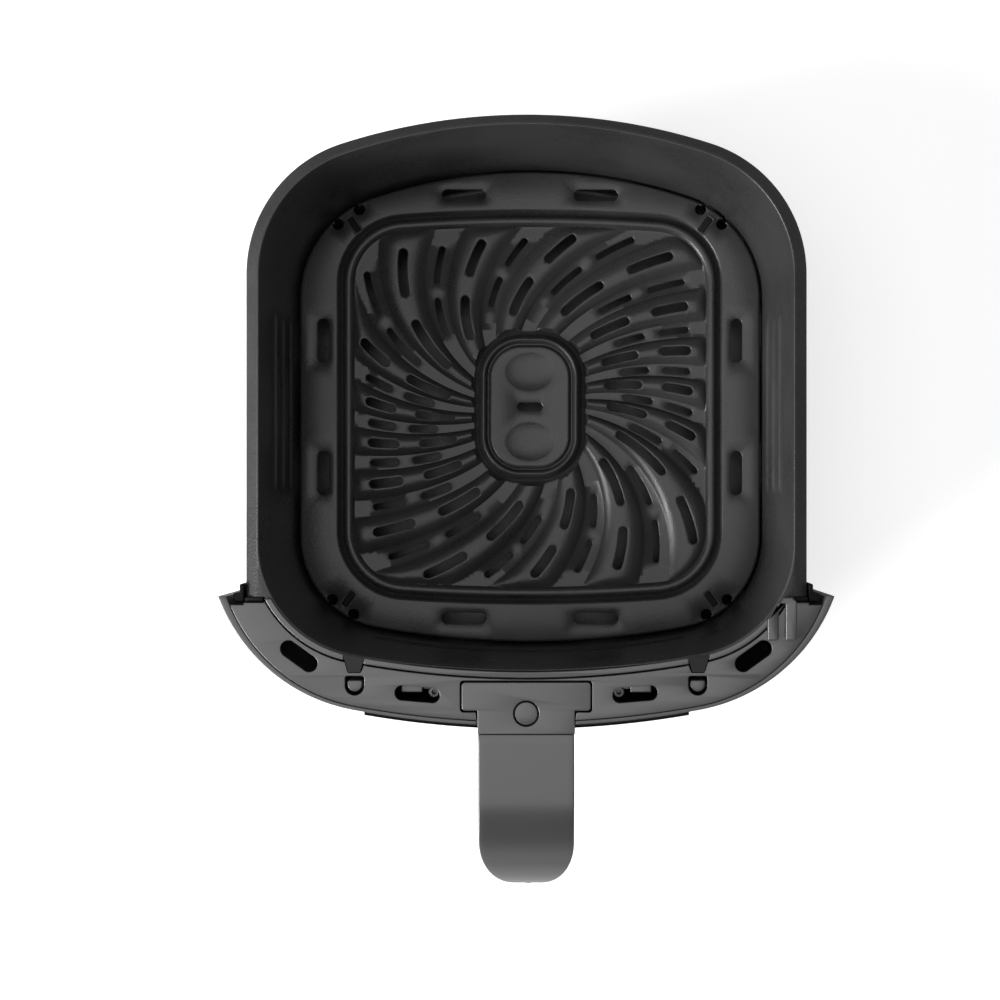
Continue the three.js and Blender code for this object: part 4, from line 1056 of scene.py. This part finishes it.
def make_retainers():
    """The lip over the front of the pan's rim, in three lengths between the bracket's tongues."""
    for where, x_low, x_high in (("middle", -73.0, 73.0), ("right", 82.2, 130), ("left", -130, -82.2)):
        lines = [by_x(front_line(OPENING, offset, -91)) for offset in (3.45, 0.9)]
        outer, inner = [clipped(clipped(line, 1, 0, x_high), -1, 0, -x_low) for line in lines]
        loop = np.concatenate([outer, inner[::-1]])
        piece = slab(f"rim_lip_{where}", [loop], RIM_Z + GAP, RIM_Z + GAP + 0.9, GREY_PART, edge=0.3)
        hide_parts(f"rim_retainer_{where}")


def filleted_box(x0, x1, y0, y1, front, rear):
    """A rectangle with corners of one radius in front and one at the rear."""
    return filleted([(x0, y0, front), (x1, y0, front), (x1, y1, rear), (x0, y1, rear)])


CLIP_BOSS = [(2.1, 90), (2.6, 90.4), (2.6, 101.9), (2.1, 102.5), (1.2, 102.6), (0.95, 102.2), (0.9, 99), (0.1, 99)]
SCREW_PROFILE = [(0.3, 4.4), (1.3, 4.4), (1.35, 4.1), (2.9, 4.1), (3.4, 4.6), (3.4, 5.6), (3.2, 5.7), (1.6, 5.7),
                 (1.6, 21.4), (1.0, 22), (0.1, 22)]
GUIDE_PLAN = [(127.4, -92.4, 0.4), (132.4, -92.4, 0.8), (132.4, -88.3, 1.2), (129.4, -88.3, 0.4),
              (129.4, -84.3, 0.8), (127.4, -84.3, 0.8)]


def make_small_pieces():
    """The hooks, clips, seals, guides and floor screws at both ends of the front."""
    for where, side in SIDES:
        flip, clip = np.array([side, 1]), f"deck_clip_{where}"

        def add(name, node_name, plan, low, high, kind, edge):
            piece = slab(f"{name}_{where}", [plan * flip], low, high, kind, edge=edge)
            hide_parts(node_name)

        hook = window_outline(7, -127.5, 5.4, 77.2)
        add("hook", f"snap_hook_{where}", hook, 86, DECK_TOP - 0.9, GREY_PART, 0.7)
        add("clip_bar", clip, filleted_box(46.9, 56.5, -133.4, -129.4, 0.5, 0.5), 90, 103.6, GREY_PART, 0.5)
        add("clip_web", clip, filleted_box(41.8, 47.5, -133.2, -129.8, 0.2, 0.2), 90.1, 95, GREY_PART, 0.3)
        boss = lathe(f"clip_boss_{where}", CLIP_BOSS, (side * 41.8, -133.4), GREY_PART)
        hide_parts(clip)
        seal = filleted_box(118.6, 126.8, -92.4, -90.2, 0.4, 0.8)
        add("seal", f"corner_seal_{where}", seal, 98, 105.4, SEAL_PART, 0.6)
        add("guide", f"side_guide_{where}", filleted(GUIDE_PLAN), 88, 104.6, BLACK_PART, 0.5)
        place = (side * SHELL_SCREW[0], SHELL_SCREW[1])
        screw = lathe(f"floor_screw_{where}", SCREW_PROFILE, place, SCREW_PART)
        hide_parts(f"shell_screw_{where}")


def interlock_line():
    """The key seen from above: two ribs joined at the rear, cut off along the pan's opening."""
    left, right, rear, front = 108.25, 121.35, -90.1, -109.5
    edge = by_x(front_line(OPENING, 0.9, -60))
    rim_y = float(np.interp(left, edge[:, 0], edge[:, 1]))
    rim_x = float(np.interp(rear, *zip(*sorted((y, x) for x, y in edge if x > 70))))
    return filleted([
        (left, rim_y, 0.3), (left, front, 1.0), (left + 5, front, 1.4), (left + 5, rear - 3.2, 0.3),
        (right - 5, rear - 3.2, 0.3), (right - 5, front, 1.0), (right, front, 1.4), (right, rear - 2.0, 0.4),
        (right - 2.0, rear, 0.4), (rim_x, rear, 0.2),
    ])


def make_interlock():
    key = slab("key_pad", [interlock_line()], 107.5, 109.2, GREY_PART, edge=0.6)
    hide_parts("interlock_key")
    for name, x in (("inner", 110.75), ("outer", 118.85)):
        plan = rounded_rect(4.4, 4.4, 0.8) + np.array([x, -107.0])
        foot = slab(f"key_foot_{name}", [plan], 107.1, 107.8, GREY_PART, edge=0.1, bottom_edge=0.05)
        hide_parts("interlock_key")


make_deck()
make_shell()
make_liner()
make_fascia()
make_retainers()
make_small_pieces()
make_interlock()

# ---------------------------------------------------------------- the handle


def handle_line():
    """Points of the handle's outer line (y, z) with inward normals (ny, nz), flat and then down."""
    points = [(y, ROOT_TOP, 0.0, -1.0) for y in np.linspace(-152.1, HANDLE_Y, 8)[:-1]]
    for a in np.radians(np.linspace(0, 90, 46)):
        ny, nz = math.sin(a) / HANDLE_REACH, -math.cos(a) / HANDLE_DROP
        size = math.hypot(ny, nz)
        y, z = HANDLE_Y - HANDLE_REACH * math.sin(a), ROOT_TOP - HANDLE_DROP * (1 - math.cos(a))
        points.append((y, z, ny / size, nz / size))
    start = ROOT_TOP - HANDLE_DROP
    for t in np.linspace(0, 1, 14)[1:]:
        points.append((HANDLE_Y - HANDLE_REACH + 5 * t * t, start + (HANDLE_BOTTOM - start) * t, 1.0, 0.0))
    return points


def plan_half(y):
    """Half the handle's width seen from above: it ends in a half ellipse."""
    end = HANDLE_Y - HANDLE_REACH
    t = np.clip((end + HANDLE_END - y) / HANDLE_END, 0, 0.9995)
    return HANDLE_HALF * np.sqrt(1 - t * t)


def handle_half(name, outer, inner, kind, outer_round, inner_round):
    """One half of the grip between two depths below the outer line, with rounded long edges."""
    degrees = (0, 22.5, 45, 67.5, 90)
    profile = [(outer + depth, inset) for depth, inset in round_off(outer_round, degrees)]
    start, stop = outer + outer_round, inner - inner_round
    profile += [(start + (stop - start) * share, 0.0) for share in (0.06, 0.16, 0.3, 0.5, 0.75)]
    profile += [(inner - depth, inset) for depth, inset in round_off(inner_round, degrees[::-1])]
    rings = []
    for y, z, ny, nz in handle_line():
        right = []
        for depth, inset in profile:
            half = max(float(plan_half(y + ny * depth)) - inset, 0.05)
            right.append((half, y + ny * depth, z + nz * depth))
        left = [(-x, py, pz) for x, py, pz in reversed(right)]
        across_bottom = [(right[-1][0] * s, right[-1][1], right[-1][2]) for s in np.linspace(1, -1, 12)[1:-1]]
        across_top = [(right[0][0] * s, right[0][1], right[0][2]) for s in np.linspace(-1, 1, 16)[1:-1]]
        rings.append(np.array(right + across_bottom + left + across_top))
    piece = loft(name, rings, kind, sharp=GRIP_SHARP)
    soften(piece, 0.5, angle=60, sharp=GRIP_SHARP)
    return piece


def make_handle():
    upper = handle_half("grip_outer", 0, 7, GREY_PART, 0.7, 0.25)
    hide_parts("handle_upper")
    lower = handle_half("grip_inner", 7.3, 14, BLACK_PART, 0.3, 2.6)
    for z in (72, 46):
        pocket = turned_cylinder((0, HANDLE_Y - HANDLE_REACH + 14.5, z), 3.7, 6.0)
        carve(lower, pocket, sharp=GRIP_SHARP)
    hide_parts("handle_lower")


def turned_cylinder(centre, radius, half_length):
    """A cutting cylinder along Y."""
    angles = 2 * math.pi * np.arange(32) / 32
    ring = np.column_stack([centre[0] + radius * np.cos(angles), np.zeros(32), centre[2] + radius * np.sin(angles)])
    rings = [ring + np.array([0, centre[1] + d, 0]) for d in (-half_length + 2.5, half_length)]
    return loft("pocket", rings, BLACK_PART)


def make_root():
    corners = root_cut(0, -151.8)
    right = [(ROOT_STEM, -151.8, 0.3), *corners[1:]]
    hole = rounded_rect(11.6, 11.6, 5.79, 12) + np.array([0, CAP_Y])
    root = slab("root_plate", [filleted(right + mirrored(right)), hole], 101.8, ROOT_TOP, GREY_PART, edge=0.35)
    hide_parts("handle_root")
    disc = [(4.8, 105.6), (5.1, 105.8), (5.1, 106.7), (5.0, 106.9), (4.7, 107), (0.1, 107)]
    cap = lathe("root_cap", disc, (0, CAP_Y), GREY_PART, steps=64)
    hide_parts("handle_screw_cap")


make_handle()
make_root()

# Pieces that keep the frame's mesh, with their looks.
CARRIED = {"pan_bracket": DARK_STEEL, "handle_core": DARK_STEEL}
CARRIED.update(dict.fromkeys(("handle_screw", "grip_screw_1", "grip_screw_2"), STEEL))
for name, material in CARRIED.items():
    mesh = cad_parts[name].data
    mesh.materials.clear()
    mesh.materials.append(material)

# ---------------------------------------------------------------- studio and camera


def emission_over(tree, shader_output, strength, rays):
    """Adds light of its own to a surface, seen by the given rays only."""
    path = tree.nodes.new("ShaderNodeLightPath")
    total = path.outputs[rays[0]]
    for ray in rays[1:]:
        total = node(tree, "ShaderNodeMath", {0: total, 1: path.outputs[ray]}, operation="MAXIMUM").outputs[0]
    level = node(tree, "ShaderNodeMath", {0: total, 1: strength}, operation="MULTIPLY")
    glow = node(tree, "ShaderNodeEmission", {"Color": (1, 1, 1, 1), "Strength": level.outputs[0]})
    both = node(tree, "ShaderNodeAddShader")
    tree.links.new(shader_output, both.inputs[0])
    tree.links.new(glow.outputs[0], both.inputs[1])
    return both.outputs[0]


def make_floor():
    mesh = bpy.data.meshes.new("floor")
    size = 6.0
    mesh.from_pydata([(-size, -size, 0), (size, -size, 0), (size, size, 0), (-size, size, 0)], [], [(0, 1, 2, 3)])
    floor = place_object("floor", mesh, (0, 0, -0.0005))
    material = bpy.data.materials.new("floor")
    material.use_nodes = True
    tree = material.node_tree
    tree.nodes.remove(tree.nodes["Principled BSDF"])
    diffuse = node(tree, "ShaderNodeBsdfDiffuse", {"Color": (0.62, 0.62, 0.62, 1)})
    shown = emission_over(tree, diffuse.outputs[0], 0.62, ["Is Camera Ray"])
    tree.links.new(shown, tree.nodes["Material Output"].inputs["Surface"])
    mesh.materials.append(material)


WALL_LIGHT = 1.0
CEILING_LIGHT = 0.06


def make_world():
    """A dim studio with pale walls near the horizon. The camera sees plain white."""
    world = bpy.data.worlds.new("studio")
    bpy.context.scene.world = world
    world.use_nodes = True
    tree = world.node_tree
    background = tree.nodes["Background"]
    background.inputs["Color"].default_value = (1, 1, 1, 1)
    generated = tree.nodes.new("ShaderNodeTexCoord").outputs["Generated"]
    direction = node(tree, "ShaderNodeSeparateXYZ", {"Vector": generated})
    walls = node(tree, "ShaderNodeMapRange", {"Value": direction.outputs["Z"], "From Min": 0.25, "From Max": 0.5,
                                              "To Min": WALL_LIGHT, "To Max": CEILING_LIGHT})
    path = tree.nodes.new("ShaderNodeLightPath")
    level = node(tree, "ShaderNodeMix", {"Factor": path.outputs["Is Camera Ray"], "A": walls.outputs[0], "B": 1.0})
    tree.links.new(level.outputs["Result"], background.inputs["Strength"])


def soft_light(name, place, aim, size, radiance):
    """A soft rectangular light of an even brightness, pointed at a place."""
    light = bpy.data.lights.new(name, "AREA")
    light.shape = "RECTANGLE"
    light.size, light.size_y = size
    light.energy = radiance * math.pi * size[0] * size[1]
    direction = Vector(aim) - Vector(place)
    place_object(name, light, place).rotation_euler = direction.to_track_quat("-Z", "Y").to_euler()


def make_camera():
    camera = bpy.data.cameras.new("camera")
    camera.lens = 51.2
    camera.sensor_width = 36
    camera.shift_x = -0.0596
    camera.shift_y = -0.01
    camera.clip_start = 0.01
    bpy.context.scene.camera = place_object("camera", camera, (0.015, -0.042, 0.746))


make_floor()
make_world()
soft_light("overhead", (-0.3, -0.06, 1.6), (-0.3, -0.06, 0.1), (1.7, 1.3), 2.0)
soft_light("left", (-1.45, -0.75, 0.85), (0, 0, 0.08), (1.0, 0.8), 28.0)
make_camera()
bpy.context.scene.view_settings.view_transform = "Standard"
